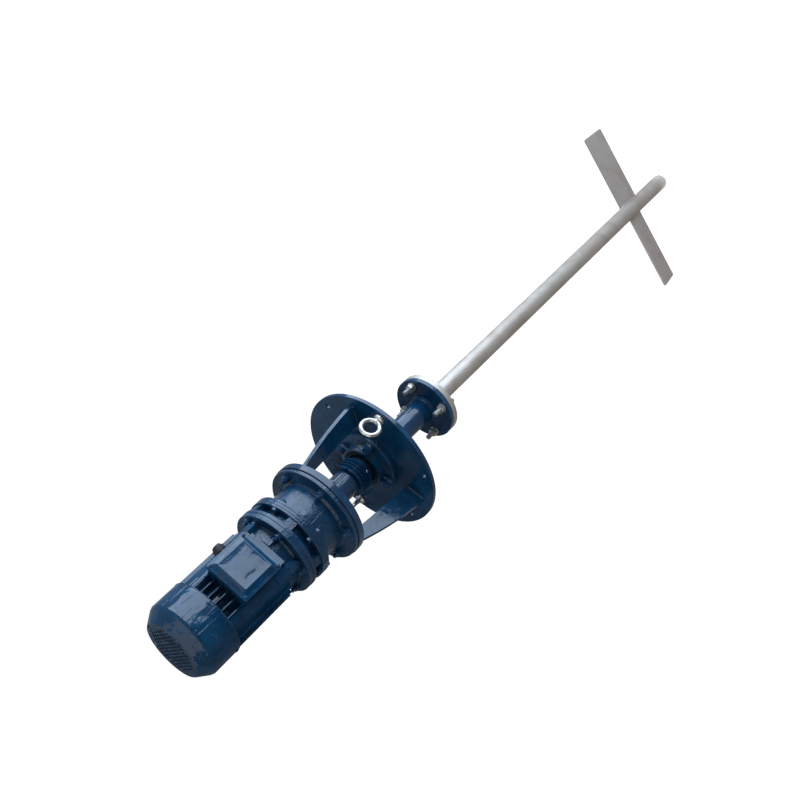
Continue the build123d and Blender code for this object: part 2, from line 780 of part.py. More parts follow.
def shaft_flange_bolts():
    """Bolts up through both shaft flanges, with their heads on the wet side."""
    length = drive_flange_thickness + wet_flange_thickness + shaft_bolt_standout
    bolt = hex_bolt(shaft_bolt_radius, 0, -length)
    bolt = Pos(0, 0, wet_flange_low) * Rot(180, 0, 0) * bolt
    return circle_of(bolt, shaft_bolt_circle, shaft_bolt_count, 45.0)


def shaft_flange_nuts():
    """Nuts and washers on the motor side of the shaft flanges."""
    return circle_of(hex_nut(shaft_bolt_radius, drive_flange_high), shaft_bolt_circle, shaft_bolt_count, 45.0)


def bearing_bolts():
    """Hexagon bolts that hold the flange bearing on the plate."""
    seat = plate_thickness + bearing_flange_thickness
    return circle_of(hex_bolt(bearing_bolt_radius, seat, 1.0), bearing_bolt_circle, 4)


def output_flange_bolts():
    """Bolts and nuts that hold the reducer on the stand's ring."""
    bolt = hex_bolt(output_bolt_radius, barrel_low, ring_low - 12.0)
    nut = upside_down(hex_nut(output_bolt_radius, ring_low), ring_low)
    bolts = circle_of(bolt, output_bolt_circle, flange_bolt_count, 30.0)
    nuts = circle_of(nut, output_bolt_circle, flange_bolt_count, 30.0)
    return bolts, nuts


def rim_bolts():
    """Bolts and nuts that clamp the ring housing between the barrel and the adaptor."""
    bolt = hex_bolt(rim_bolt_radius, lantern_low, housing_rim_low - 9.0)
    nut = upside_down(hex_nut(rim_bolt_radius, housing_rim_low), housing_rim_low)
    return (circle_of(bolt, rim_bolt_circle, flange_bolt_count),
            circle_of(nut, rim_bolt_circle, flange_bolt_count))


def motor_bolts():
    """Bolts through the motor flange into the adaptor's blocks."""
    bolt = hex_bolt(motor_bolt_radius, bell_low, lantern_high - 10.0)
    return circle_of(bolt, motor_bolt_circle, flange_bolt_count, 30.0)


def lug_positions(shape):
    """A like shape at each of the motor's four tie lugs."""
    return circle_of(shape, lug_circle, 4, lug_angle)


def lug(low, high):
    """Tie lug, square on its outer face and rounded into the shell."""
    return Pos(-2.0, 0, low) * Box(lug_radius * 2, lug_radius * 2, high - low,
                                   align=(Align.CENTER, Align.CENTER, Align.MIN))


def drive_end_shield():
    """Motor flange and bell with the front bearing seat and four tie lugs."""
    bearing_low = bell_low + 3.0
    bearing_bore = motor_bearing_radius + slide_clearance
    body = turned([
        (motor_shaft_radius + 4.0, motor_low), (motor_flange_radius - 0.8, motor_low),
        (motor_flange_radius, motor_low + 0.8), (motor_flange_radius, bell_low - 1.0),
        (motor_flange_radius - 1.0, bell_low), (bell_radius + 1.0, bell_low),
        (bell_radius - 2.0, bell_low + 4.0), (bell_radius - 4.0, frame_low),
        (frame_bore_radius + slide_clearance, frame_low),
        (frame_bore_radius - 4.0, bell_low + 6.0), (bearing_bore + 5.0, bell_low + 6.0),
        (bearing_bore + 5.0, bearing_low + motor_bearing_width), (bearing_bore, bearing_low
                                                                    + motor_bearing_width),
        (bearing_bore, bearing_low), (motor_shaft_radius + 4.0, bearing_low),
    ])
    for piece in lug_positions(lug(bell_low + 8.0, frame_low)):
        body = body + (piece - disc(bell_radius - 8.0, bell_low, frame_high))
    hole = disc(motor_bolt_radius + bolt_clearance, motor_low, bell_low)
    body = drill(body, circle_of(hole, motor_bolt_circle, flange_bolt_count, 30.0))
    tie_hole = disc(3.0 + thread_clearance, bell_low + 8.0, frame_low)
    return drill(body, lug_positions(Pos(4.0, 0, 0) * tie_hole))


def fin_side(low, high):
    """Parallel cooling fins on the -Y side of the frame, cut off at a common radius."""
    fins = []
    for index in range(fins_per_side):
        offset = (index - (fins_per_side - 1) / 2) * fin_pitch
        root = math.sqrt(max(frame_core_radius ** 2 - (abs(offset) + fin_thickness) ** 2, 0.0)) - 3.0
        fin = Pos(offset, -root, low) * Box(fin_thickness, fin_reach - root, high - low,
                                            align=(Align.CENTER, Align.MAX, Align.MIN))
        fins.append(fin & disc(fin_reach, low, high))
    return fins


def gland_depth():
    """Distance of the cable gland's centre line from the motor axis."""
    return (box_seat + box_rim) / 2


def box_pad_cut():
    """Room for the terminal box and its gland on the -Y side of the fins."""
    pad = Pos(0, -box_seat, box_centre) * Box(box_width + 2.0, fin_reach, box_width + 2.0,
                                              align=(Align.CENTER, Align.MAX, Align.CENTER))
    across_corners = gland_radius + gland_spanner_room
    gland_side = Pos(box_width / 2, -gland_depth() + across_corners, box_centre) * Box(
        gland_length, fin_reach, 2 * across_corners, align=(Align.MIN, Align.MAX, Align.CENTER))
    return pad + gland_side


def motor_frame():
    """Finned frame with lugs at both ends and a flat pad for the terminal box."""
    body = disc(frame_core_radius, frame_low, frame_high)
    fins = fin_side(frame_low + 8.0, cover_low - 1.0)
    for side in range(4):
        body = body + [Rot(0, 0, 90.0 * side) * fin for fin in fins]
    for low, high in ((frame_low, frame_low + lug_length), (cover_low - lug_length, cover_low - 1.0)):
        body = body + lug_positions(lug(low, high))
    body = body - disc(frame_bore_radius, frame_low, frame_high) - box_pad_cut()
    tie_hole = disc(3.0 + thread_clearance, frame_low, frame_low + 14.0)
    body = drill(body, lug_positions(Pos(4.0, 0, 0) * tie_hole))
    lead_hole = Pos(0, -frame_bore_radius + 4.0, box_centre) * Rot(90, 0, 0) * Cylinder(
        12.0, 20.0, align=(Align.CENTER, Align.CENTER, Align.MIN))
    return body - lead_hole


def tie_bolts():
    """Bolts through the shield's lugs into the frame's lugs, heads towards the flange."""
    bolt = hex_bolt(3.0, 0, -(frame_low - bell_low + 4.0))
    bolt = Pos(lug_circle + 4.0, 0, bell_low + 8.0) * Rot(180, 0, 0) * bolt
    return [Rot(0, 0, lug_angle + 90.0 * i) * bolt for i in range(4)]


def stator():
    """Laminated stator with slots on its bore."""
    low = (frame_low + frame_high - stator_length) / 2
    core = ring(frame_bore_radius - 0.05, stator_inner_radius, low, low + stator_length)
    slot = Pos(stator_inner_radius - 2.0, 0, low) * Box(15.0, 3.0, stator_length,
                                                        align=(Align.MIN, Align.CENTER, Align.MIN))
    core = drill(core, [Rot(0, 0, 15.0 * i) * slot for i in range(24)])
    windings = [ring(frame_bore_radius - 4.0, stator_inner_radius + 3.0, low - 14.0, low),
                ring(frame_bore_radius - 4.0, stator_inner_radius + 3.0, low + stator_length,
                     low + stator_length + 14.0)]
    return core, windings


def rotor_shaft():
    """Motor shaft from the input sleeve to the fan, stepped for its bearings and core."""
    seat = motor_shaft_radius + 0.45
    middle_low = bell_low + 3.0 + motor_bearing_width
    return turned([
        (0, core_low + 2.0), (motor_shaft_radius, core_low + 2.0), (motor_shaft_radius, bell_low + 1.0),
        (seat, bell_low + 1.0), (seat, middle_low), (seat + 3.0, middle_low), (seat + 3.0, frame_high - 6.0),
        (seat, frame_high - 6.0), (seat, frame_high + 12.0), (motor_shaft_radius - 2.0, frame_high + 12.0),
        (motor_shaft_radius - 2.0, fan_low() + fan_depth), (0, fan_low() + fan_depth),
    ])


def rotor_core():
    """Rotor lamination stack with its end rings."""
    low = (frame_low + frame_high - stator_length) / 2
    return ring(rotor_radius, motor_shaft_radius + 3.45 + thread_clearance, low - 6.0,
                low + stator_length + 6.0)


def front_motor_bearing():
    """Drive-end bearing of the motor."""
    return ball_bearing(motor_bearing_radius, motor_shaft_radius + 0.5, bell_low + 3.0, motor_bearing_width)


def rear_motor_bearing():
    """Fan-end bearing of the motor."""
    return ball_bearing(motor_bearing_radius, motor_shaft_radius + 0.5, frame_high - 6.0,
                        motor_bearing_width)


def fan_end_shield():
    """Rear end shield, let into the frame bore and carrying the cover."""
    bearing_bore = motor_bearing_radius + slide_clearance
    low = frame_high - 6.0
    body = turned([
        (motor_shaft_radius + 4.0, low - 3.0), (bearing_bore + 5.0, low - 3.0), (bearing_bore + 5.0, low),
        (frame_bore_radius - slide_clearance, low), (frame_bore_radius - slide_clearance, frame_high),
        (frame_core_radius + 6.0, frame_high), (frame_core_radius + 6.0, frame_high + 6.0),
        (bearing_bore + 8.0, frame_high + 10.0), (bearing_bore, frame_high + 10.0), (bearing_bore, low),
        (motor_shaft_radius + 4.0, low),
    ])
    ear = Pos(frame_core_radius, 0, frame_high) * Box(
        cover_radius - cover_wall - slide_clearance - frame_core_radius, 14.0, 8.0,
        align=(Align.MIN, Align.CENTER, Align.MIN))
    for index in range(4):
        body = body + (Rot(0, 0, 90.0 * index) * ear & disc(cover_radius - cover_wall - slide_clearance,
                                                             frame_high, frame_high + 8.0))
        screw_hole = Pos(frame_core_radius + 6.0, 0, frame_high + 4.0) * Rot(0, 90, 0) * Cylinder(
            2.0 + thread_clearance, 30.0, align=(Align.CENTER, Align.CENTER, Align.MIN))
        body = body - Rot(0, 0, 90.0 * index) * screw_hole
    return body


def fan_low():
    """Underside of the fan's back plate."""
    return frame_high + 22.0


def fan():
    """Radial cooling fan on the rotor shaft."""
    low = fan_low()
    hub = ring(18.0, motor_shaft_radius - 2.0 + thread_clearance, low, low + fan_depth)
    back = ring(fan_radius, 17.0, low, low + 2.5)
    body = hub + back
    blade = Pos(17.0, 0, low) * Box(fan_radius - 17.0, 2.5, fan_depth - 4.0,
                                    align=(Align.MIN, Align.CENTER, Align.MIN))
    for index in range(fan_blade_count):
        body = body + Rot(0, 0, 360.0 / fan_blade_count * index) * blade
    return body


def fan_cover():
    """Pressed cover with a coned shoulder and a slotted grille on its flat end."""
    shoulder = cover_high - cover_shoulder_length
    outer = turned([
        (0, cover_low), (cover_radius, cover_low), (cover_radius, shoulder),
        (cover_radius - 2.5, shoulder + 6.0), (cover_face_radius + 2.0, cover_high - 2.0),
        (cover_face_radius, cover_high), (0, cover_high),
    ])
    inside = turned([
        (0, cover_low), (cover_radius - cover_wall, cover_low), (cover_radius - cover_wall, shoulder),
        (cover_radius - 2.5 - cover_wall, shoulder + 6.0),
        (cover_face_radius + 0.5 - cover_wall, cover_high - 2.0 - cover_wall / 2),
        (cover_face_radius - cover_wall, cover_high - cover_wall), (0, cover_high - cover_wall),
    ])
    screw_hole = Pos(cover_radius - 5.0, 0, frame_high + 4.0) * Rot(0, 90, 0) * Cylinder(
        2.0 + bolt_clearance, 10.0, align=(Align.CENTER, Align.CENTER, Align.MIN))
    body = drill(outer - inside, [Rot(0, 0, 90.0 * index) * screw_hole for index in range(4)])
    return body - grille_slots()


def grille_slots():
    """Rows of staggered slots inside the grille circle."""
    slots = Sketch()
    rows = int(grille_radius / row_step)
    for row in range(-rows, rows + 1):
        across = row * row_step
        shift = slot_step / 2 if row % 2 else 0.0
        columns = int(grille_radius / slot_step) + 1
        for column in range(-columns, columns + 1):
            along = column * slot_step + shift
            if math.hypot(abs(along) + slot_width / 2, abs(across) + slot_length / 2) < grille_radius:
                slots = slots + Pos(along, across) * Rectangle(slot_width, slot_length)
    return Pos(0, 0, cover_high - 2 * cover_wall) * extrude(slots, 3 * cover_wall)


def cover_screws():
    """Round-headed screws that hold the cover on the rear shield."""
    head = Pos(0, 0, 0) * Cylinder(4.0, 2.4, align=(Align.CENTER, Align.CENTER, Align.MIN))
    shank = Pos(0, 0, -12.0) * Cylinder(2.0, 12.0, align=(Align.CENTER, Align.CENTER, Align.MIN))
    screw = Pos(cover_radius, 0, frame_high + 4.0) * Rot(0, 90, 0) * (head + shank)
    return [Rot(0, 0, 90.0 * index) * screw for index in range(4)]


def box_slab(width, height, inner_face, depth):
    """A square-edged slab on the terminal box axis, from inner_face outwards."""
    return Pos(0, -inner_face, box_centre) * Box(width, depth, height,
                                                 align=(Align.CENTER, Align.MAX, Align.CENTER))


def bevelled_slab(width, height, inner_face, depth, bevel):
    """A slab that narrows outwards by a bevel on each side."""
    low = Plane(origin=(0, -inner_face, box_centre), x_dir=(1, 0, 0), z_dir=(0, -1, 0))
    high = Plane(origin=(0, -inner_face - depth, box_centre), x_dir=(1, 0, 0), z_dir=(0, -1, 0))
    return loft([(low * Rectangle(width, height)).face(),
                 (high * Rectangle(width - 2 * bevel, height - 2 * bevel)).face()])


def terminal_box():
    """Cast box on the frame's pad, open to the lid and threaded for the gland."""
    depth = box_rim - box_seat
    body = box_slab(box_width, box_width, box_seat, depth)
    hollow = box_slab(box_width - 2 * box_wall, box_width - 2 * box_wall, box_seat + box_wall, depth)
    lead_hole = Pos(0, -box_seat + 5.0, box_centre) * Rot(90, 0, 0) * Cylinder(
        12.0, box_wall + 10.0, align=(Align.CENTER, Align.CENTER, Align.MIN))
    body = body - hollow - lead_hole
    for across, along in box_corners():
        post = Pos(across, -box_seat - box_wall, box_centre + along) * Rot(90, 0, 0) * Cylinder(
            6.0, depth - box_wall, align=(Align.CENTER, Align.CENTER, Align.MIN))
        hole = Pos(across, -box_rim + 16.0, box_centre + along) * Rot(90, 0, 0) * Cylinder(
            2.0 + thread_clearance, 20.0, align=(Align.CENTER, Align.CENTER, Align.MIN))
        body = body + post - hole
    gland_hole = Pos(0, -gland_depth(), box_centre) * Rot(0, 90, 0) * Cylinder(
        gland_radius - 2.0 + thread_clearance, box_width, align=(Align.CENTER, Align.CENTER, Align.MIN))
    return body - gland_hole


def box_corners():
    """The lid screws' places across and along the terminal box."""
    inset = box_width / 2 - 8.0
    return [(across * inset, along * inset) for across in (-1, 1) for along in (-1, 1)]


def box_gasket():
    """Flat gasket under the lid."""
    low = box_rim
    body = box_slab(box_width, box_width, low, gasket_thickness)
    body = body - box_slab(box_width - 18.0, box_width - 18.0, low - 1.0, gasket_thickness + 2.0)
    for across, along in box_corners():
        body = body - Pos(across, -low + 1.0, box_centre + along) * Rot(90, 0, 0) * Cylinder(
            2.5, 5.0, align=(Align.CENTER, Align.CENTER, Align.MIN))
    return body


def box_lid():
    """Lid with a flat rim, a bevelled channel and a raised centre panel."""
    low = box_rim + gasket_thickness
    rim_depth = lid_thickness * 0.5
    body = box_slab(lid_width, lid_height, low, rim_depth)
    edges = body.edges().filter_by(Axis.Y)
    body = fillet(edges, 4.0)
    inset = lid_panel_inset
    panel = bevelled_slab(lid_width - inset * 1.2, lid_height - inset * 1.2, low + rim_depth,
                          lid_thickness - rim_depth, inset * 0.7)
    body = body + panel
    for across, along in box_corners():
        seat = Pos(across, -low - rim_depth, box_centre + along) * Rot(90, 0, 0) * Cylinder(
            5.0, lid_thickness, align=(Align.CENTER, Align.CENTER, Align.MIN))
        hole = Pos(across, -low + 1.0, box_centre + along) * Rot(90, 0, 0) * Cylinder(
            2.0 + bolt_clearance, lid_thickness, align=(Align.CENTER, Align.CENTER, Align.MIN))
        body = body - seat - hole
    return body


def lid_screws():
    """Cheese-head screws at the lid's corners."""
    seat = box_rim + gasket_thickness + lid_thickness * 0.5
    head = Cylinder(4.0, 3.0, align=(Align.CENTER, Align.CENTER, Align.MIN))
    shank = Pos(0, 0, -14.0) * Cylinder(2.0, 14.0, align=(Align.CENTER, Align.CENTER, Align.MIN))
    return [Pos(across, -seat, box_centre + along) * Rot(90, 0, 0) * (head + shank)
            for across, along in box_corners()]


def terminal_block():
    """Terminal block on the floor of the box, with six studs."""
    floor = box_seat + box_wall
    block = box_slab(terminal_block_width, terminal_block_height, floor, terminal_block_depth)
    block = block - Pos(0, -box_seat, box_centre) * Rot(90, 0, 0) * Cylinder(
        9.0, 20.0, align=(Align.CENTER, Align.CENTER, Align.MIN))
    for across in (-17.0, 0.0, 17.0):
        for along in (-12.5, 12.5):
            stud = Pos(across, -floor - terminal_block_depth, box_centre + along) * Rot(90, 0, 0) * Cylinder(
                2.5, 12.0, align=(Align.CENTER, Align.CENTER, Align.MIN))
            block = block + stud
    return block


def cable_gland():
    """Cable gland in the side of the terminal box, bored for the cable."""
    outside = box_width / 2
    body = hexagon(gland_radius * 2 + 3.0, 0, 7.0)
    body = body + Pos(0, 0, 7.0) * Cylinder(gland_radius - 0.5, 4.0, align=(Align.CENTER, Align.CENTER, Align.MIN))
    body = body + hexagon(gland_radius * 2 + 1.0, 11.0, gland_length - 6.0)
    body = body + Pos(0, 0, gland_length - 6.0) * Cone(
        gland_radius, gland_radius - 3.0, 6.0, align=(Align.CENTER, Align.CENTER, Align.MIN))
    body = body + Pos(0, 0, -box_wall - 3.0) * Cylinder(
        gland_radius - 2.0, box_wall + 3.0, align=(Align.CENTER, Align.CENTER, Align.MIN))
    body = body - Pos(0, 0, -box_wall - 4.0) * Cylinder(
        gland_bore_radius, gland_length + box_wall + 5.0, align=(Align.CENTER, Align.CENTER, Align.MIN))
    return Pos(outside, -gland_depth(), box_centre) * Rot(0, 90, 0) * body


def build_stand():
    """Plate, webs, ring, eyebolts and the flange bearing."""
    save("mounting_plate", mounting_plate())
    for index in range(gusset_count):
        save(f"gusset_{index + 1}", Rot(0, 0, -60.0 + 120.0 * index) * gusset())
    save("stand_ring", stand_ring())
    save("eyebolt_front", Pos(0, -eyebolt_circle, 0) * eyebolt())
    save("eyebolt_rear", Pos(0, eyebolt_circle, 0) * Rot(0, 0, eyebolt_rear_turn) * eyebolt())
    save("bearing_housing", bearing_housing())
    outer, inner, balls = bearing_insert()
    save("insert_outer_ring", outer)
    save("insert_inner_ring", inner, *balls)
    save("bearing_bolts", *bearing_bolts())


def build_reducer():
    """The cycloidal reducer and its fasteners."""
    save_drive("gearbox_housing", gearbox_housing())
    save_drive("seal_cover", seal_cover())
    save_drive("oil_seal", oil_seal())
    save_drive("oil_plug", oil_plug())
    save_drive("ring_gear", ring_gear())
    save_drive("ring_pins", *ring_pins())
    save_drive("cycloid_disc_lower", cycloid_disc(disc_low(0)))
    save_drive("cycloid_disc_upper", opposite(cycloid_disc(disc_low(1))))
    save_drive("eccentric_bearings", *eccentric_bearings())
    save_drive("input_sleeve", input_sleeve())
    outer, inner, balls = input_bearing()
    save_drive("input_bearing", outer, inner, *balls)
    save_drive("motor_adaptor", motor_adaptor())
    save_drive("output_shaft", output_shaft())
    save_drive("output_pins", *output_pins(), *output_rollers())
    bearings = []
    for low in (lower_bearing_low, upper_bearing_low):
        outer, inner, balls = ball_bearing(output_bearing_radius, shaft_radius + 0.05, low,
                                           output_bearing_width)
        bearings += [outer, inner, *balls]
    save_drive("output_bearings", *bearings)
    bolts, nuts = output_flange_bolts()
    save_drive("output_flange_bolts", *bolts, *nuts)
    bolts, nuts = rim_bolts()
    save_drive("rim_bolts", *bolts, *nuts)


def build_motor():
    """The flange motor, its cover and terminal box."""
    save_drive("drive_end_shield", drive_end_shield())
    save_drive("motor_bolts", *motor_bolts())
    save_drive("motor_frame", motor_frame())
    save_drive("tie_bolts", *tie_bolts())
    core, windings = stator()
    save_drive("stator_core", core)
    save_drive("windings", *windings)
    save_drive("rotor_shaft", rotor_shaft())
    save_drive("rotor_core", rotor_core())
    outer, inner, balls = front_motor_bearing()
    rear_outer, rear_inner, rear_balls = rear_motor_bearing()
    save_drive("motor_bearings", outer, inner, *balls, rear_outer, rear_inner, *rear_balls)
    save_drive("fan_end_shield", fan_end_shield())
    save_drive("fan", fan())
    save_drive("fan_cover", fan_cover())
    save_drive("cover_screws", *cover_screws())
    save_drive("terminal_box", terminal_box())
    save_drive("box_gasket", box_gasket())
    save_drive("box_lid", box_lid())
    save_drive("lid_screws", *lid_screws())
    save_drive("terminal_block", terminal_block())
    save_drive("cable_gland", cable_gland())


def build_shaft_line():
    """Coupling, drop shaft, shaft flanges, long shaft and paddles."""
    save_drive("coupling_sleeve", coupling_sleeve())
    save_drive("shaft_keys", *shaft_keys())
    save_drive("grub_screws", sleeve_screw(), collar_screw())
    save_drive("locking_collar", locking_collar())
    save_drive("drop_shaft", drop_shaft())
    save("drive_flange", drive_flange())
    save("wet_flange", wet_flange())
    save("wet_shaft", wet_shaft())
    save("paddles", *[Rot(0, 0, paddle_azimuth + 180.0 * index) * paddle() for index in (0, 1)])
    save("shaft_flange_bolts", *shaft_flange_bolts())
    save("shaft_flange_nuts", *shaft_flange_nuts())


build_stand()
build_reducer()
build_motor()
build_shaft_line()
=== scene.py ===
"""Looks of the tank agitator: enamel, stainless steel, weld beads, forged eyebolts, studio and camera."""

import json
import logging
import math
from dataclasses import dataclass, field
from enum import Enum

import bmesh
import bpy
from mathutils import Matrix, Quaternion, Vector, noise


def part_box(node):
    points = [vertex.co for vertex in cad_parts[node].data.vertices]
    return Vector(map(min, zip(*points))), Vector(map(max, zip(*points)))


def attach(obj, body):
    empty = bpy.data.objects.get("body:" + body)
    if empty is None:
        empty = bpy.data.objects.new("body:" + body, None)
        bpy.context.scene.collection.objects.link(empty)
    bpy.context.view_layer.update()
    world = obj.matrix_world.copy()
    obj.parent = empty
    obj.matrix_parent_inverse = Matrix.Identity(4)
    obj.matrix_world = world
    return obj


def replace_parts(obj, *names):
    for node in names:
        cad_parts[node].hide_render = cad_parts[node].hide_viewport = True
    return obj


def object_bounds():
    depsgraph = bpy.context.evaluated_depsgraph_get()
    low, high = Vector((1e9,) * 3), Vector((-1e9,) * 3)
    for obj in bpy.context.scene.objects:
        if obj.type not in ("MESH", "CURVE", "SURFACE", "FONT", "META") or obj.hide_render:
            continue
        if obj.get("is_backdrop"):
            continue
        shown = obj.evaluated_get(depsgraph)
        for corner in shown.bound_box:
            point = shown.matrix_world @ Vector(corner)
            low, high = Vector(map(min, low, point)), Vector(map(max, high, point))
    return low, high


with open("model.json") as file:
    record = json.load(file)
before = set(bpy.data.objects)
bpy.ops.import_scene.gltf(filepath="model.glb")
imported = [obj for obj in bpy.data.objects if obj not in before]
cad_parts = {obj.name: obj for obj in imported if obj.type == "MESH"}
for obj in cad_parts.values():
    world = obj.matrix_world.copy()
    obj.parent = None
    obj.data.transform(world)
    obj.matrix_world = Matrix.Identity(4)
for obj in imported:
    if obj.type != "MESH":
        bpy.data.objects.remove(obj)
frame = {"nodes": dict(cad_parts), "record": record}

LOG = logging.getLogger("agitator")
MM = 0.001
SHARP_ANGLE = math.radians(38.0)
DRIVE_CLOCK = -7.0
UP = Vector((0.0, 0.0, 1.0))

Colour = tuple[float, float, float]
Ring = list[tuple[float, float]]
Face = tuple[int, ...]
Socket = bpy.types.NodeSocket
Material = bpy.types.Material


class Body(Enum):
    """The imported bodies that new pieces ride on."""

    STAND = "stand"
    SHAFT = "output_shaft"


class Slot(Enum):
    """The record's material slots."""

    ENAMEL = "blue_enamel"
    STAINLESS = "stainless"
    PLATED = "bright_steel"
    STEEL = "bearing_steel"
    LAMINATION = "lamination"
    COPPER = "copper"
    RUBBER = "rubber"
    PLASTIC = "black_plastic"


class Grain(Enum):
    """How a brushed or turned surface's fine marks run, as noise stretch along x, y and z."""

    TURNED = (12.0, 12.0, 900.0)
    ROLLED = (60.0, 60.0, 60.0)
    FORGED = (180.0, 180.0, 180.0)


# ---------------------------------------------------------------- shader building


class NodeWeb:
    """A node tree, built step by step."""

    def __init__(self, owner: Material | bpy.types.World) -> None:
        """Start from an empty tree.

        Args:
            owner: The material or world that holds it.
        """
        owner.use_nodes = True
        self.tree = owner.node_tree
        self.tree.nodes.clear()

    def plug(self, value: object, socket: Socket) -> None:
        """Link an output to a socket, or write a plain value on it.

        Args:
            value: An output socket, a number or a colour.
            socket: The input socket.
        """
        if isinstance(value, bpy.types.NodeSocket):
            self.tree.links.new(value, socket)
        elif isinstance(value, tuple) and len(value) == 3 and socket.type == "RGBA":
            socket.default_value = (*value, 1.0)
        else:
            socket.default_value = value

    def add(self, kind: str, result: str, *first: object, **values: object) -> Socket:
        """Add a node.

        Args:
            kind: Its type.
            result: The output wanted.
            first: What goes in its first inputs, in order.
            values: Its settings, and its inputs with an underscore for a space.

        Returns:
            The output.
        """
        node = self.tree.nodes.new(f"ShaderNode{kind}")
        for place, value in enumerate(first):
            self.plug(value, node.inputs[place])
        for name, value in values.items():
            if name.islower():
                setattr(node, name, value)
            else:
                self.plug(value, node.inputs[name.replace("_", " ")])
        return node.outputs[result]

    def finish(self, kind: str, surface: Socket) -> None:
        """Link what a material or world shows to the tree's output."""
        output = self.tree.nodes.new(f"ShaderNodeOutput{kind}")
        self.tree.links.new(surface, output.inputs["Surface"])

    def combine(self, first: object, second: object, operation: str = "MULTIPLY") -> Socket:
        """Join two values by arithmetic."""
        return self.add("Math", "Value", first, second, operation=operation)

    def seen_rays(self) -> Socket:
        """1 for what the camera sees straight, in metal or through glass."""
        rays = self.tree.nodes.new("ShaderNodeLightPath").outputs
        seen = rays["Is Camera Ray"]
        for name in ("Is Glossy Ray", "Is Transmission Ray"):
            seen = self.combine(seen, rays[name], "MAXIMUM")
        return seen


class Paint(NodeWeb):
    """One material's patterns and surface."""

    def __init__(self, name: str) -> None:
        """Start the material.

        Args:
            name: Its name.
        """
        self.material = bpy.data.materials.new(name)
        super().__init__(self.material)
        self.shader = self.tree.nodes.new("ShaderNodeBsdfPrincipled")
        self.finish("Material", self.shader.outputs["BSDF"])
        self.coords = self.add("TexCoord", "Object")

    def set(self, **values: object) -> None:
        """Set inputs of the surface shader; an underscore in a name stands for a space."""
        for name, value in values.items():
            self.plug(value, self.shader.inputs[name.replace("_", " ")])

    def stretched(self, scale: Colour) -> Socket:
        """Object coordinates stretched by a factor on each axis."""
        return self.add("Mapping", "Vector", self.coords, Scale=scale)

    def noise(self, scale: float, detail: float = 3.0, distortion: float = 0.0,
              coords: Socket | None = None) -> Socket:
        """Fractal noise of so many features per metre, over its own or other coordinates."""
        return self.add("TexNoise", "Fac", Vector=coords or self.coords, Scale=scale, Detail=detail,
                        Distortion=distortion)

    def span(self, value: Socket, low: float, high: float, to_low: float = 0.0,
             to_high: float = 1.0) -> Socket:
        """Map a range of a value smoothly to another range, clamped."""
        return self.add("MapRange", "Result", Value=value, From_Min=low, From_Max=high, To_Min=to_low,
                        To_Max=to_high, interpolation_type="SMOOTHSTEP")

    def blend(self, share: Socket, under: object, over: object) -> Socket:
        """Mix two colours.

        Args:
            share: How much of the second colour shows.
            under: The first colour.
            over: The second colour.

        Returns:
            The mixed colour.
        """
        node = self.tree.nodes.new("ShaderNodeMix")
        node.data_type = "RGBA"
        for place, value in ((0, share), (6, under), (7, over)):
            self.plug(value, node.inputs[place])
        return node.outputs[2]

    def relief(self, height: Socket, depth: float, under: Socket | None = None) -> Socket:
        """A bump over the surface, or over another bump."""
        laid_on = {} if under is None else {"Normal": under}
        return self.add("Bump", "Normal", Strength=1.0, Distance=depth, Height=height, **laid_on)


@dataclass(frozen=True)
class Enamel:
    """Thick glossy navy enamel, brushed and sprayed over cast iron, steel plate or pressed sheet."""

    name: str
    peel: float = 0.00006
    waves: float = 0.0009
    casting: float = 0.0
    runs: float = 0.0
    scratches: float = 0.0
    dust: float = 0.35
    gloss: float = 1.5
    deep: Colour = (0.002, 0.034, 0.088)
    thin: Colour = (0.005, 0.058, 0.142)
    grime: Colour = (0.15, 0.15, 0.165)

    def material(self) -> Material:
        """The enamel's material."""
        paint = Paint(self.name)
        patches = paint.span(paint.noise(16.0, 5.0, 0.6), 0.35, 0.7)
        colour = paint.blend(patches, self.deep, self.thin)
        specks = paint.span(paint.add("TexVoronoi", "Distance", Vector=paint.coords, Scale=420.0), 0.16, 0.06)
        scatter = paint.span(paint.noise(34.0, 4.0, 1.0), 0.52, 0.72)
        film = paint.span(paint.noise(9.0, 6.0, 1.4), 0.52, 0.80, 0.0, 0.30)
        dirt = paint.combine(paint.combine(specks, scatter), film, "MAXIMUM")
        dirt = paint.combine(dirt, self.dust)
        paint.set(Base_Color=paint.blend(dirt, colour, self.grime))
        rough = paint.span(paint.noise(60.0, 5.0, 0.4), 0.3, 0.75, 0.07, 0.22)
        paint.set(Roughness=paint.combine(rough, paint.combine(dirt, 0.35), "ADD"))
        normal = paint.relief(paint.noise(24.0, 2.0, 0.7), self.waves)
        normal = paint.relief(paint.noise(330.0, 2.0), self.peel, normal)
        if self.casting:
            normal = paint.relief(paint.noise(105.0, 4.0, 0.8), self.casting, normal)
            normal = paint.relief(paint.noise(290.0, 3.0, 0.4), self.casting * 0.4, normal)
        if self.runs:
            streaks = paint.noise(1.0, 3.0, 0.5, paint.stretched((70.0, 70.0, 9.0)))
            normal = paint.relief(paint.span(streaks, 0.5, 0.72), self.runs, normal)
        if self.scratches:
            lines = paint.noise(1.0, 2.0, 0.1, paint.stretched((900.0, 30.0, 40.0)))
            fields = paint.span(paint.noise(11.0, 3.0, 0.6), 0.52, 0.66)
            cuts = paint.combine(paint.span(lines, 0.64, 0.72), fields)
            normal = paint.relief(cuts, -self.scratches, normal)
        paint.set(Normal=normal, IOR=self.gloss)
        return paint.material


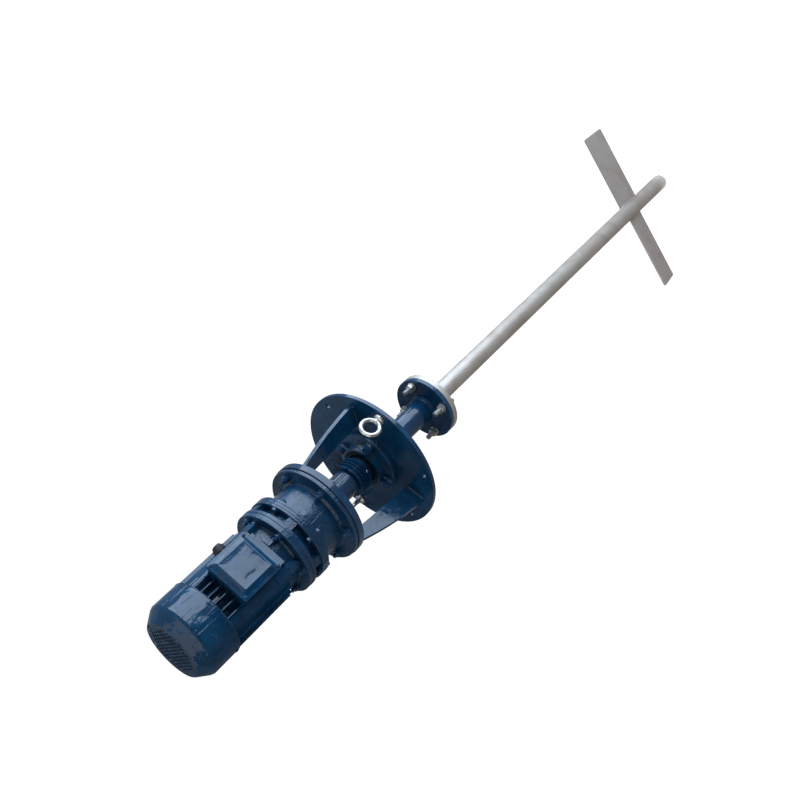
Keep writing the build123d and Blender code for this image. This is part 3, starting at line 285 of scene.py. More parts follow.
@dataclass(frozen=True)
class Steel:
    """Bare or plated steel with fine marks, dull patches and a little tarnish."""

    name: str
    colour: Colour = (0.60, 0.60, 0.585)
    tarnish: Colour = (0.44, 0.40, 0.36)
    roughness: tuple[float, float] = (0.30, 0.46)
    grain: Grain = Grain.TURNED
    marks: float = 0.00003
    dents: float = 0.0
    metal: float = 1.0

    def material(self) -> Material:
        """The steel's material."""
        paint = Paint(self.name)
        dull = paint.span(paint.noise(14.0, 6.0, 0.9), 0.42, 0.75)
        scratches = paint.noise(1.0, 4.0, 0.0, paint.stretched(self.grain.value))
        tone = paint.blend(paint.combine(dull, 0.6), self.colour, self.tarnish)
        paint.set(Base_Color=tone, Metallic=self.metal)
        low, high = self.roughness
        patchy = paint.span(paint.noise(40.0, 5.0), 0.3, 0.7, low, high)
        paint.set(Roughness=paint.combine(patchy, paint.span(scratches, 0.3, 0.7, -0.04, 0.06), "ADD"))
        normal = paint.relief(scratches, self.marks)
        if self.dents:
            normal = paint.relief(paint.noise(45.0, 2.0, 0.3), self.dents, normal)
        paint.set(Normal=normal)
        return paint.material


@dataclass(frozen=True)
class Moulded:
    """Moulded rubber or plastic, or varnished winding wire, with a fine skin."""

    name: str
    colour: Colour
    other: Colour
    roughness: float = 0.5
    skin: float = 0.00005
    skin_scale: float = 700.0
    metal: float = 0.0

    def material(self) -> Material:
        """The moulding's material."""
        paint = Paint(self.name)
        tone = paint.span(paint.noise(80.0, 5.0), 0.35, 0.7)
        paint.set(Base_Color=paint.blend(tone, self.colour, self.other), Metallic=self.metal)
        paint.set(Roughness=paint.span(paint.noise(150.0, 3.0), 0.3, 0.7, self.roughness - 0.08,
                                       self.roughness + 0.1))
        paint.set(Normal=paint.relief(paint.noise(self.skin_scale, 2.0), self.skin))
        return paint.material


class Finishes:
    """Every finish of the agitator, each made once."""

    def __init__(self) -> None:
        """Make the materials."""
        self.cast = Enamel("cast_enamel", casting=0.0013, runs=0.0006, dust=0.35).material()
        self.plate = Enamel("plate_enamel", waves=0.0006, runs=0.0002, dust=0.2).material()
        self.sheet = Enamel("sheet_enamel", waves=0.0034, runs=0.0009, dust=0.25).material()
        self.lid = Enamel("lid_enamel", waves=0.0014, dust=0.6, scratches=0.0008).material()
        self.small = Enamel("fastener_enamel", waves=0.0002, dust=0.2,
                            deep=(0.005, 0.040, 0.112), thin=(0.015, 0.074, 0.18)).material()
        self.turned = Steel("turned_stainless", colour=(0.56, 0.53, 0.50), tarnish=(0.42, 0.36, 0.31),
                            roughness=(0.38, 0.52), dents=0.0003, metal=0.6).material()
        self.rolled = Steel("rolled_stainless", colour=(0.57, 0.54, 0.52), tarnish=(0.46, 0.37, 0.33),
                            grain=Grain.ROLLED, roughness=(0.46, 0.6), dents=0.0005, metal=0.6).material()
        self.forged = Steel("forged_zinc", colour=(0.74, 0.74, 0.73), tarnish=(0.50, 0.47, 0.43),
                            roughness=(0.20, 0.34), grain=Grain.FORGED, marks=0.0001, dents=0.0009,
                            metal=0.75).material()
        self.plated = Steel("bright_plated", colour=(0.66, 0.66, 0.64), tarnish=(0.42, 0.39, 0.35),
                            roughness=(0.26, 0.40), grain=Grain.FORGED, metal=0.85).material()
        self.ground = Steel("ground_steel", colour=(0.55, 0.55, 0.55), roughness=(0.2, 0.34)).material()
        # Dark navy steel, about as dark as the deepest enamel, for the bearing insert rings.
        self.dark_navy_insert = Steel("dark_navy_steel", colour=(0.008, 0.032, 0.072), tarnish=(0.03, 0.04, 0.055),
                             roughness=(0.30, 0.5), dents=0.0006, metal=0.4).material()
        self.lamination = Steel("stacked_lamination", colour=(0.28, 0.28, 0.29),
                                tarnish=(0.2, 0.17, 0.15)).material()
        self.copper = Moulded("varnished_copper", (0.5, 0.2, 0.09), (0.36, 0.13, 0.05), 0.35, 0.0006,
                              420.0, 0.6).material()
        self.rubber = Moulded("moulded_rubber", (0.02, 0.02, 0.02), (0.035, 0.034, 0.033), 0.6).material()
        self.plastic = Moulded("black_nylon", (0.010, 0.011, 0.013), (0.02, 0.021, 0.024), 0.6).material()
        self.by_slot = {
            Slot.ENAMEL: self.cast, Slot.STAINLESS: self.turned, Slot.PLATED: self.plated,
            Slot.STEEL: self.ground, Slot.LAMINATION: self.lamination, Slot.COPPER: self.copper,
            Slot.RUBBER: self.rubber, Slot.PLASTIC: self.plastic,
        }

    def dress(self, node: str, material: Material) -> None:
        """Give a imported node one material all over.

        Args:
            node: The node's name.
            material: Its material.
        """
        piece = frame["nodes"][node]
        piece.data.materials.clear()
        piece.data.materials.append(material)

    def dress_all(self) -> None:
        """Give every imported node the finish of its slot."""
        for part in frame["record"]["subparts"]:
            self.dress(part["node"], self.by_slot[Slot(part["material_slot"])])


# ---------------------------------------------------------------- mesh building


def mesh_object(name: str, verts: list[Vector], faces: list[Face], material: Material) -> bpy.types.Object:
    """Make a mesh object and link it to the scene.

    Args:
        name: Its name.
        verts: Its points, in metres in the row frame.
        faces: Its faces, as indices of points.
        material: Its material.

    Returns:
        The object.
    """
    mesh = bpy.data.meshes.new(name)
    mesh.from_pydata([tuple(vert) for vert in verts], [], faces)
    mesh.materials.append(material)
    made = bpy.data.objects.new(name, mesh)
    bpy.context.scene.collection.objects.link(made)
    return made


def spun(angle: float) -> Matrix:
    """A turn about the z axis by an angle in degrees."""
    return Matrix.Rotation(math.radians(angle), 4, "Z")


def moved(along: float, up: float = 0.0) -> Matrix:
    """A shift along x and z."""
    return Matrix.Translation((along, 0.0, up))


def facing(foot: Vector, out: Vector) -> Matrix:
    """A place at a point, with its z axis along a direction."""
    return Matrix.Translation(foot) @ out.to_track_quat("Z", "Y").to_matrix().to_4x4()


def mm(*points: tuple[float, float]) -> Ring:
    """Points given in millimetres, in metres."""
    return [(first * MM, second * MM) for first, second in points]


@dataclass
class MeshStore:
    """Points and faces gathered for one piece."""

    verts: list[Vector] = field(default_factory=list)
    faces: list[Face] = field(default_factory=list)

    def skin(self, loops: list[list[Vector]], place: Matrix, closed: bool = True) -> None:
        """Add loops of as many points each, skinned one to the next.

        Args:
            loops: The loops, in order.
            place: Where they lie.
            closed: Whether both ends are capped, rather than joined to each other.
        """
        steps = len(loops[0])
        count = len(loops)
        faces = [(row * steps + i, row * steps + (i + 1) % steps,
                  (row + 1) % count * steps + (i + 1) % steps, (row + 1) % count * steps + i)
                 for row in range(count - 1 if closed else count) for i in range(steps)]
        if closed:
            faces.append(tuple(reversed(range(steps))))
            faces.append(tuple((count - 1) * steps + i for i in range(steps)))
        start = len(self.verts)
        self.verts += [place @ point for loop in loops for point in loop]
        self.faces += [tuple(start + i for i in face) for face in faces]

    def add_rings(self, rings: list[Ring], place: Matrix, closed: bool = True) -> None:
        """Add rings of evenly spaced points about the z axis of a place.

        Args:
            rings: The (radius, height) of each ring's points.
            place: Where its axis lies.
            closed: Whether both ends are capped, rather than joined to each other.
        """
        steps = len(rings[0])
        turns = [math.tau * i / steps for i in range(steps)]
        self.skin([[Vector((r * math.cos(t), r * math.sin(t), z)) for (r, z), t in zip(ring, turns)]
                   for ring in rings], place, closed)

    def add_prism(self, outline: Ring, low: float, high: float, place: Matrix) -> None:
        """Add a prism along the z axis of a place."""
        self.skin([[Vector((x, y, z)) for x, y in outline] for z in (low, high)], place)

    def add_lathe(self, outline: Ring, place: Matrix, steps: int = 32, closed: bool = True) -> None:
        """Add a turned shape about the z axis of a place."""
        self.add_rings([[point] * steps for point in outline], place, closed)

    def build(self, name: str, body: Body, slot: Slot, material: Material) -> bpy.types.Object:
        """Make the smooth piece.

        Args:
            name: Its name.
            body: The body that it rides on.
            slot: The material slot; not used.
            material: Its material.

        Returns:
            The piece.
        """
        piece = mesh_object(name, self.verts, self.faces, material)
        mesh = piece.data
        mesh.update()
        shape = bmesh.new()
        shape.from_mesh(mesh)
        bmesh.ops.recalc_face_normals(shape, faces=shape.faces)
        shape.to_mesh(mesh)
        shape.free()
        for polygon in mesh.polygons:
            polygon.use_smooth = True
        mesh.set_sharp_from_angle(angle=SHARP_ANGLE)
        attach(piece, body.value)
        LOG.info("built %s: %d faces on %s", name, len(self.faces), body.value)
        return piece

    def stand_in(self, node: str, body: Body, material: Material) -> None:
        """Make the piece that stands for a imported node."""
        slot = next(part["material_slot"] for part in frame["record"]["subparts"] if part["node"] == node)
        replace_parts(self.build(f"{node}_made", body, Slot(slot), material), node)


def rounded_rectangle(half_x: float, half_y: float, corner: float, height: float,
                      steps: int = 6) -> list[Vector]:
    """A rectangle with round corners.

    Args:
        half_x: Half its size along x.
        half_y: Half its size along y.
        corner: Radius of its corners.
        height: Where it lies along z.
        steps: Points on each corner, less one.

    Returns:
        Its points, anticlockwise.
    """
    loop = []
    for quarter, (x, y) in enumerate(((1, 1), (-1, 1), (-1, -1), (1, -1))):
        middle = Vector((x * (half_x - corner), y * (half_y - corner), height))
        for i in range(steps + 1):
            turn = math.tau / 4 * (quarter + i / steps)
            loop.append(middle + corner * Vector((math.cos(turn), math.sin(turn), 0.0)))
    return loop


@dataclass(frozen=True)
class WeldBead:
    """A rippled weld bead laid along a line."""

    radius: float = 3.4 * MM
    pitch: float = 2.3 * MM
    ripple: float = 0.13
    wander: float = 0.16
    sides: int = 12
    step: float = 0.55 * MM

    def lay(self, store: MeshStore, path: list[Vector], up: Vector, closed: bool = False,
            seed: float = 0.0) -> None:
        """Lay the bead along a path.

        Args:
            store: Where its mesh goes.
            path: Evenly spaced points.
            up: A direction that the path never runs along.
            closed: Whether the path is a loop.
            seed: Shifts its unevenness.
        """
        count = len(path)
        loops = []
        travelled = 0.0
        for i, point in enumerate(path):
            ahead = path[(i + 1) % count] if closed or i + 1 < count else point
            behind = path[i - 1] if closed or i else point
            along = (ahead - behind).normalized()
            side = along.cross(up).normalized()
            over = side.cross(along).normalized()
            if i:
                travelled += (point - path[i - 1]).length
            end = 1.0 if closed else min(1.0, 0.25 + min(i, count - 1 - i) * 0.22)
            wobble = noise.noise(point * 130.0 + Vector((seed, 0.0, 0.0)))
            loops.append([])
            for k in range(self.sides):
                turn = math.tau * k / self.sides
                phase = (travelled / self.pitch + 0.45 * math.sin(turn)) % 1.0
                radius = self.radius * end * (1.0 + self.wander * wobble + self.ripple * (0.5 - phase))
                loops[-1].append(point + radius * (math.cos(turn) * side + math.sin(turn) * over))
        store.skin(loops, Matrix.Identity(4), not closed)

    def line(self, start: Vector, end: Vector) -> list[Vector]:
        """Evenly spaced points between two places."""
        count = max(4, int((end - start).length / self.step))
        return [start.lerp(end, i / count) for i in range(count + 1)]

    def circle(self, radius: float, height: float) -> list[Vector]:
        """Evenly spaced points round the drive axis.

        Args:
            radius: The circle's radius.
            height: Its height.

        Returns:
            The points.
        """
        count = int(math.tau * radius / self.step)
        return [Vector((radius * math.cos(math.tau * i / count), radius * math.sin(math.tau * i / count),
                        height)) for i in range(count)]


def turned_about(angle: float, point: Vector) -> Vector:
    """A point turned about the drive axis."""
    return Matrix.Rotation(math.radians(angle), 3, "Z") @ point


class Ringed:
    """A shape of rings about the z axis of its place."""

    bore: float = 0.0

    def rings(self) -> list[Ring]:
        """The (radius, height) of each ring's points, from the lower to the upper end."""
        raise NotImplementedError

    def add(self, store: MeshStore, place: Matrix) -> None:
        """Add it to a store."""
        store.add_rings(self.rings(), place, closed=not self.bore)


@dataclass(frozen=True)
class Hexagon(Ringed):
    """A hexagon head or nut with turned-off corners, standing on z = 0."""

    across_flats: float
    height: float
    bore: float = 0.0
    steps: int = 48

    def reach(self, turn: float) -> float:
        """Distance from the middle to the hexagon's side in one direction."""
        sixth = math.tau / 6
        return self.across_flats / 2 / math.cos((turn % sixth) - sixth / 2)

    def rings(self) -> list[Ring]:
        """The (radius, height) of each ring's points, from the seat up."""
        flat = self.across_flats / 2
        turns = [math.tau * i / self.steps for i in range(self.steps)]
        lower = [(min(self.reach(t), flat * 1.08), 0.0) for t in turns]
        foot = [(self.reach(t), max(self.reach(t) - flat, 0.0) * 0.5) for t in turns]
        shoulder = [(self.reach(t), self.height - (self.reach(t) - flat * 0.96) * 0.6) for t in turns]
        crown = [(flat * 0.93, self.height)] * self.steps
        if self.bore:
            middle = [[(self.bore * 1.14, self.height)] * self.steps,
                      [(self.bore, self.height - self.bore * 0.14)] * self.steps,
                      [(self.bore, 0.0)] * self.steps]
        else:
            middle = [[(flat * 0.80, self.height)] * self.steps,
                      [(flat * 0.74, self.height - flat * 0.05)] * self.steps,
                      [(flat * 0.08, self.height - flat * 0.05)] * self.steps]
        return [lower, foot, shoulder, crown, *middle]


@dataclass(frozen=True)
class ThreadedRod(Ringed):
    """A rod with a cut helical thread between two heights and a turned-off end."""

    radius: float
    low: float
    high: float
    thread_low: float
    steps: int = 20
    rows_per_turn: int = 6

    @property
    def pitch(self) -> float:
        """Coarse pitch for the rod's size."""
        return self.radius * 0.29

    def rings(self) -> list[Ring]:
        """The (radius, height) of each ring's points."""
        rows = int((self.high - self.thread_low) / self.pitch * self.rows_per_turn)
        result = [[(self.radius, self.low)] * self.steps, [(self.radius, self.thread_low)] * self.steps]
        for row in range(1, rows + 1):
            height = self.thread_low + (self.high - self.thread_low) * row / rows
            taper = min(1.0, (self.high - height) / self.pitch)
            ring = []
            for i in range(self.steps):
                phase = (height / self.pitch - i / self.steps) % 1.0
                cut = (1.0 - abs(2.0 * phase - 1.0)) * self.pitch * 0.55
                ring.append((self.radius * (0.86 + 0.14 * taper) - cut, height))
            result.append(ring)
        return result


@dataclass(frozen=True)
class BoltCircle:
    """Like bolts or studs on a circle, each with its head, nut, washers and thread."""

    node: str
    body: Body
    radius: float
    circle: float
    count: int
    start: float
    seat: float
    tail: float
    nut_seat: float | None = None
    nut_node: str | None = None
    stud: bool = False

    @property
    def way(self) -> float:
        """1 when the thread's end points up, -1 when it points down."""
        return 1.0 if self.tail > self.seat else -1.0

    def washer(self, store: MeshStore, place: Matrix, height: float) -> None:
        """Add a flat washer with rounded edges.

        Args:
            store: Where its mesh goes.
            place: Where its seat lies.
            height: Its thickness.
        """
        reach = self.radius * 1.93
        outline = [(self.radius * 0.9, 0.0), (reach - height * 0.15, 0.0), (reach, height * 0.3),
                   (reach, height * 0.7), (reach - height * 0.3, height), (self.radius * 0.9, height)]
        store.add_lathe(outline, place)

    def build(self, material: Material) -> None:
        """Make the piece, or two where the nuts are their own node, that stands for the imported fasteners.

        Args:
            material: Its material.
        """
        bolts = MeshStore()
        nuts = MeshStore() if self.nut_node else bolts
        thick = self.radius * 0.4
        length = abs(self.tail - self.seat)
        over = Matrix.Rotation(math.pi, 4, "X")
        flip = over if self.way < 0 else Matrix.Identity(4)
        for index in range(self.count):
            turn = spun(self.start + 360.0 * index / self.count)
            spin = spun(17.0 + 71.0 * index)
            seat = turn @ moved(self.circle, self.seat) @ flip
            if self.stud:
                ThreadedRod(self.radius, 0.0, length, length * 0.3).add(bolts, seat @ spin)
            else:
                ThreadedRod(self.radius, -thick, length, length * 0.4).add(bolts, seat @ spin)
                self.washer(bolts, seat @ over, thick)
                Hexagon(self.radius * 3.1, self.radius * 1.3).add(
                    bolts, seat @ over @ moved(0.0, thick) @ spin)
            if self.nut_seat is not None:
                nut = turn @ moved(self.circle, self.nut_seat) @ flip
                self.washer(nuts, nut, thick)
                Hexagon(self.radius * 3.1, self.radius * 1.6, self.radius * 0.9).add(
                    nuts, nut @ moved(0.0, thick) @ spin)
        bolts.stand_in(self.node, self.body, material)
        if self.nut_node:
            nuts.stand_in(self.nut_node, self.body, material)


@dataclass(frozen=True)
class CrossScrew(Ringed):
    """A round-headed screw with a cross recess, standing on z = 0."""

    radius: float
    height: float
    shank: float
    slot_half: float = 0.55 * MM
    slot_depth: float = 1.3 * MM
    steps: int = 48
    ring_count: int = 14

    def rings(self) -> list[Ring]:
        """The (radius, height) of each ring's points, from its shank to its head's middle."""
        rings = [[(self.shank, -2.0 * self.height)] * self.steps, [(self.shank, 0.0)] * self.steps,
                 [(self.radius, 0.0)] * self.steps, [(self.radius, self.height * 0.45)] * self.steps]
        for row in range(self.ring_count, 0, -1):
            out = self.radius * (row - 0.5) / self.ring_count
            dome = self.height * (0.45 + 0.55 * math.sqrt(max(1.0 - (out / self.radius) ** 2, 0.0)))
            ring = []
            for i in range(self.steps):
                turn = math.tau * i / self.steps
                near = min(abs(out * math.cos(turn)), abs(out * math.sin(turn)))
                inside = near < self.slot_half and out < self.radius * 0.72
                ring.append((out, dome - (self.slot_depth if inside else 0.0)))
            rings.append(ring)
        return rings


# ---------------------------------------------------------------- sub-assemblies


@dataclass(frozen=True)
class Eyebolt:
    """A drop-forged lifting eyebolt, with the forging's parting line round its eye."""

    node: str
    place: Vector
    turn: float
    eye_height: float = 41.5 * MM
    eye_radius: float = 20.0 * MM
    wire: float = 5.0 * MM
    flash: float = 0.32 * MM
    steps: int = 96
    sides: int = 28

    def build(self, material: Material) -> None:
        """Make the eyebolt.

        Args:
            material: Its material.
        """
        store = MeshStore()
        place = Matrix.Translation(self.place) @ spun(self.turn)
        loops = []
        for i in range(self.steps):
            turn = math.tau * i / self.steps
            out = Vector((math.cos(turn), 0.0, math.sin(turn)))
            root = math.exp(-((math.sin(turn) + 1.0) / 0.16) ** 2)
            loops.append([])
            for k in range(self.sides):
                lean = math.tau * k / self.sides
                ridge = self.flash * math.exp(-(math.sin(lean) / 0.16) ** 2)
                radius = self.wire - self.flash + ridge
                swell = 1.0 + 0.28 * root * abs(math.sin(lean))
                point = out * (self.eye_radius + radius * math.cos(lean))
                point += Vector((0.0, radius * swell * math.sin(lean), self.eye_height))
                loops[-1].append(point)
        store.skin(loops, place, closed=False)
        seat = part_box("mounting_plate")[1].z
        neck = self.eye_height - self.eye_radius
        outline = [(4.9 * MM, 0.3 * MM), (4.9 * MM, seat), (11.6 * MM, seat), (12.4 * MM, seat + 0.9 * MM),
                   (12.4 * MM, seat + 4.6 * MM), (11.5 * MM, seat + 6.0 * MM), (9.4 * MM, seat + 7.0 * MM),
                   (7.6 * MM, seat + 8.4 * MM), (6.8 * MM, neck), (6.2 * MM, neck + 2.6 * MM)]
        store.add_lathe(outline, place, 48)
        store.stand_in(self.node, Body.STAND, material)


@dataclass
class Stand:
    """Mounting plate, three upright webs, top ring, lifting eyebolts and flange bearing."""

    finishes: Finishes
    web_angles: tuple[float, ...] = (-60.0, 60.0, 180.0)
    web_half: float = 5.0 * MM
    foot: tuple[float, float] = (104.0 * MM, 153.0 * MM)
    head: tuple[float, float] = (90.0 * MM, 117.0 * MM)
    eye_circle: float = 155.0 * MM
    rear_eye_turn: float = 72.0
    pad_top: float = 30.0 * MM
    bearing_bolt_radius: float = 6.0 * MM
    bearing_bolt_circle: float = 65.0 * MM
    bearing_bolt_tail: float = 1.0 * MM
    nipple_foot: Vector = field(default_factory=lambda: Vector((9.7, -55.1, 31.0)) * MM)
    bead: WeldBead = WeldBead()

    def build(self) -> None:
        """Dress the stand and add its welds, eyebolts and bearing fittings."""
        for node in ("mounting_plate", "gusset_1", "gusset_2", "gusset_3", "stand_ring"):
            self.finishes.dress(node, self.finishes.plate)
        for node in ("insert_outer_ring", "insert_inner_ring"):
            self.finishes.dress(node, self.finishes.dark_navy_insert)
        self.weld_webs()
        Eyebolt("eyebolt_front", Vector((0.0, -self.eye_circle, 0.0)), 0.0).build(self.finishes.forged)
        Eyebolt("eyebolt_rear", Vector((0.0, self.eye_circle, 0.0)), self.rear_eye_turn).build(
            self.finishes.forged)
        self.make_bearing_housing()
        BoltCircle("bearing_bolts", Body.STAND, self.bearing_bolt_radius, self.bearing_bolt_circle, 4, 0.0,
                   self.pad_top, self.bearing_bolt_tail).build(self.finishes.small)
        self.add_grease_nipple()

    def make_bearing_housing(self) -> None:
        """The cast bearing housing: a straight hub with a flat lip and a raised pad under each bolt."""
        store = MeshStore()
        (_, _, low), (_, _, high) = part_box("bearing_housing")
        flange = low + 12.0 * MM
        seat, bore, lip, hub, rim = 38.6 * MM, 42.6 * MM, 46.0 * MM, 53.0 * MM, 78.0 * MM
        outline = [(seat, low), (rim, low), (rim, flange - 2.6 * MM), (rim - 0.8 * MM, flange - 0.9 * MM),
                   (rim - 2.4 * MM, flange), (hub + 3.2 * MM, flange), (hub + 1.0 * MM, flange + 0.8 * MM),
                   (hub, flange + 3.0 * MM), (hub, high - 1.6 * MM), (hub - 0.5 * MM, high - 0.4 * MM),
                   (hub - 1.7 * MM, high), (lip + 0.6 * MM, high), (lip, high - 0.5 * MM),
                   (bore, high - 3.4 * MM), (bore, low + 6.0 * MM), (seat, low + 6.0 * MM)]
        store.add_lathe(outline, Matrix.Identity(4), 120, closed=False)
        half, near, far = 8.3 * MM, 48.0 * MM, 76.4 * MM
        middle = (near + far) / 2
        for quarter in range(4):
            place = spun(90.0 * quarter) @ moved(middle)
            loops = [rounded_rectangle((far - near) / 2 - inset, half - inset, 2.4 * MM, height)
                     for inset, height in ((0.0, flange - 1.0 * MM), (0.0, self.pad_top - 1.4 * MM),
                                           (0.4 * MM, self.pad_top - 0.4 * MM), (1.4 * MM, self.pad_top))]
            store.skin(loops, place)
        boss = facing(self.nipple_foot - Vector((1.2, -6.9, 0.0)) * MM, Vector((0.17, -0.98, 0.0)))
        store.add_lathe(mm((5.0, 0.0), (5.0, 6.0), (4.2, 7.0)), boss)
        store.stand_in("bearing_housing", Body.STAND, self.finishes.cast)

    def add_grease_nipple(self) -> None:
        """The ball-headed grease nipple in the bearing housing's boss."""
        store = MeshStore()
        away = Vector((math.cos(math.radians(-60.0)), math.sin(math.radians(-60.0)), 0.7))
        place = facing(self.nipple_foot, away)
        Hexagon(5.5 * MM, 3.5 * MM).add(store, place @ moved(0.0, -1.0 * MM))
        outline = mm((1.9, 2.0), (1.9, 5.0), (1.3, 6.2), (2.1, 7.4), (2.1, 8.2), (1.2, 9.2), (0.5, 9.3))
        store.add_lathe(outline, place, 24)
        store.build("grease_nipple", Body.STAND, Slot.PLATED, self.finishes.plated)

    def weld_webs(self) -> None:
        """Fillet welds along both sides of each web, at the plate and under the ring."""
        plate_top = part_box("gusset_1")[0].z
        ring_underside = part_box("stand_ring")[0].z
        for number, angle in enumerate(self.web_angles):
            store = MeshStore()
            for height, (near, far) in ((plate_top, self.foot), (ring_underside, self.head)):
                for side in (-1.0, 1.0):
                    across = side * self.web_half
                    start = turned_about(angle, Vector((near, across, height)))
                    end = turned_about(angle, Vector((far, across, height)))
                    self.bead.lay(store, self.bead.line(start, end), UP, seed=number + side)
            store.build(f"web_weld_{number + 1}", Body.STAND, Slot.ENAMEL, self.finishes.plate)


@dataclass
class ShaftLine:
    """Coupling, drop shaft, shaft flanges, long shaft and the two paddles."""

    finishes: Finishes
    bead: WeldBead = WeldBead()
    drop_radius: float = 28.9 * MM
    bolt_radius: float = 6.0 * MM
    bolt_circle: float = 62.5 * MM
    bolt_standout: float = 30.5 * MM
    grub_screws: tuple[tuple[float, float, float, float], ...] = (
        (173.0, 149.4 * MM, 22.6 * MM, 30.5 * MM), (233.0, 57.0 * MM, 22.6 * MM, 41.1 * MM))
    paddle_angles: tuple[float, ...] = (-38.4, 141.6)
    paddle_pitch: float = 81.0
    paddle_half: float = 3.0 * MM

    def build(self) -> None:
        """Dress the shaft line and add its welds."""
        for node in ("drop_shaft", "drive_flange", "coupling_sleeve", "locking_collar"):
            self.finishes.dress(node, self.finishes.plate)
        self.finishes.dress("paddles", self.finishes.rolled)
        self.weld_flanges()
        self.weld_paddles()
        flange_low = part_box("shaft_flange_bolts")[0].z + 1.7 * self.bolt_radius
        flange_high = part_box("shaft_flange_nuts")[0].z
        tail = flange_high + self.bolt_standout
        BoltCircle("shaft_flange_bolts", Body.SHAFT, self.bolt_radius, self.bolt_circle, 4, 45.0, flange_low,
                   tail, flange_high, "shaft_flange_nuts").build(self.finishes.plated)
        self.add_grub_screws()

    def add_grub_screws(self) -> None:
        """Socketed grub screws of the coupling sleeve and the locking collar."""
        store = MeshStore()
        for angle, height, near, far in self.grub_screws:
            out = turned_about(angle, Vector((1.0, 0.0, 0.0)))
            place = facing(out * near + UP * height, out)
            socket = Hexagon(3.0 * MM, 0.0)
            length = far - near
            radius = 2.95 * MM
            steps = socket.steps
            mouth = [(socket.reach(math.tau * i / steps), length) for i in range(steps)]
            floor = [(reach, length - 2.0 * MM) for reach, _ in mouth]
            rings = [[(radius, 0.0)] * steps, [(radius, length - 0.6 * MM)] * steps,
                     [(radius - 0.5 * MM, length)] * steps, mouth, floor,
                     [(0.2 * MM, length - 2.1 * MM)] * steps]
            store.add_rings(rings, place)
        store.stand_in("grub_screws", Body.SHAFT, self.finishes.plated)

    def weld_flanges(self) -> None:
        """Ring welds where the shafts go into their flanges."""
        shaft_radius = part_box("wet_shaft")[1].x
        flange_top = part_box("drive_flange")[1].z
        blue = MeshStore()
        self.bead.lay(blue, self.bead.circle(self.drop_radius + 1.5 * MM, flange_top - 1.0 * MM), UP, True)
        blue.build("drop_shaft_weld", Body.SHAFT, Slot.ENAMEL, self.finishes.plate)
        steel = MeshStore()
        flange_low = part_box("wet_flange")[0].z
        self.bead.lay(steel, self.bead.circle(shaft_radius + 1.0 * MM, flange_low + 0.5 * MM), UP, True, 3.0)
        steel.build("long_shaft_weld", Body.SHAFT, Slot.STAINLESS, self.finishes.turned)

    def weld_paddles(self) -> None:
        """Fillet welds along both faces of each paddle at the shaft."""
        low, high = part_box("paddles")
        middle = (low.z + high.z) / 2
        half_height = (high.z - low.z) / 2
        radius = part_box("wet_shaft")[1].x
        store = MeshStore()
        lean = math.radians(self.paddle_pitch - 90.0)
        for angle in self.paddle_angles:
            for side in (-1.0, 1.0):
                path = []
                for z in [half_height * (i / 60.0 - 1.0) for i in range(121)]:
                    across = -z * math.sin(lean) + side * self.paddle_half
                    out = math.sqrt(max(radius ** 2 - across ** 2, 0.0))
                    path.append(turned_about(angle, Vector((out, across, z * math.cos(lean)))))
                path = [point + UP * middle for point in path]
                self.bead.lay(store, path, turned_about(angle, Vector((1.0, 0.0, 0.0))), seed=angle + side)
        store.build("paddle_welds", Body.SHAFT, Slot.STAINLESS, self.finishes.turned)


@dataclass
class Reducer:
    """Cast barrel, ring housing, adaptor and their fasteners."""

    finishes: Finishes
    flange_bolt_radius: float = 5.0 * MM
    flange_bolt_circle: float = 100.0 * MM
    flange_stack: float = 26.5 * MM
    standout: float = 6.5 * MM
    rim_bolt_radius: float = 4.0 * MM
    rim_bolt_circle: float = 93.0 * MM
    rim_bolt_end: float = 9.0 * MM
    count: int = 6

    def build(self) -> None:
        """Dress the reducer and make its fasteners."""
        self.finishes.dress("oil_plug", self.finishes.small)
        ring_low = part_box("stand_ring")[0].z
        nut_seat = ring_low + self.flange_stack
        tail = nut_seat + 2.0 * self.flange_bolt_radius + self.standout
        BoltCircle("output_flange_bolts", Body.STAND, self.flange_bolt_radius, self.flange_bolt_circle,
                   self.count, 30.0 + DRIVE_CLOCK, ring_low, tail, nut_seat).build(self.finishes.small)
        rim_tail, rim_head = (corner.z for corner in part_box("rim_bolts"))
        BoltCircle("rim_bolts", Body.STAND, self.rim_bolt_radius, self.rim_bolt_circle, self.count,
                   DRIVE_CLOCK, rim_head - 1.7 * self.rim_bolt_radius, rim_tail,
                   rim_tail + self.rim_bolt_end).build(self.finishes.small)


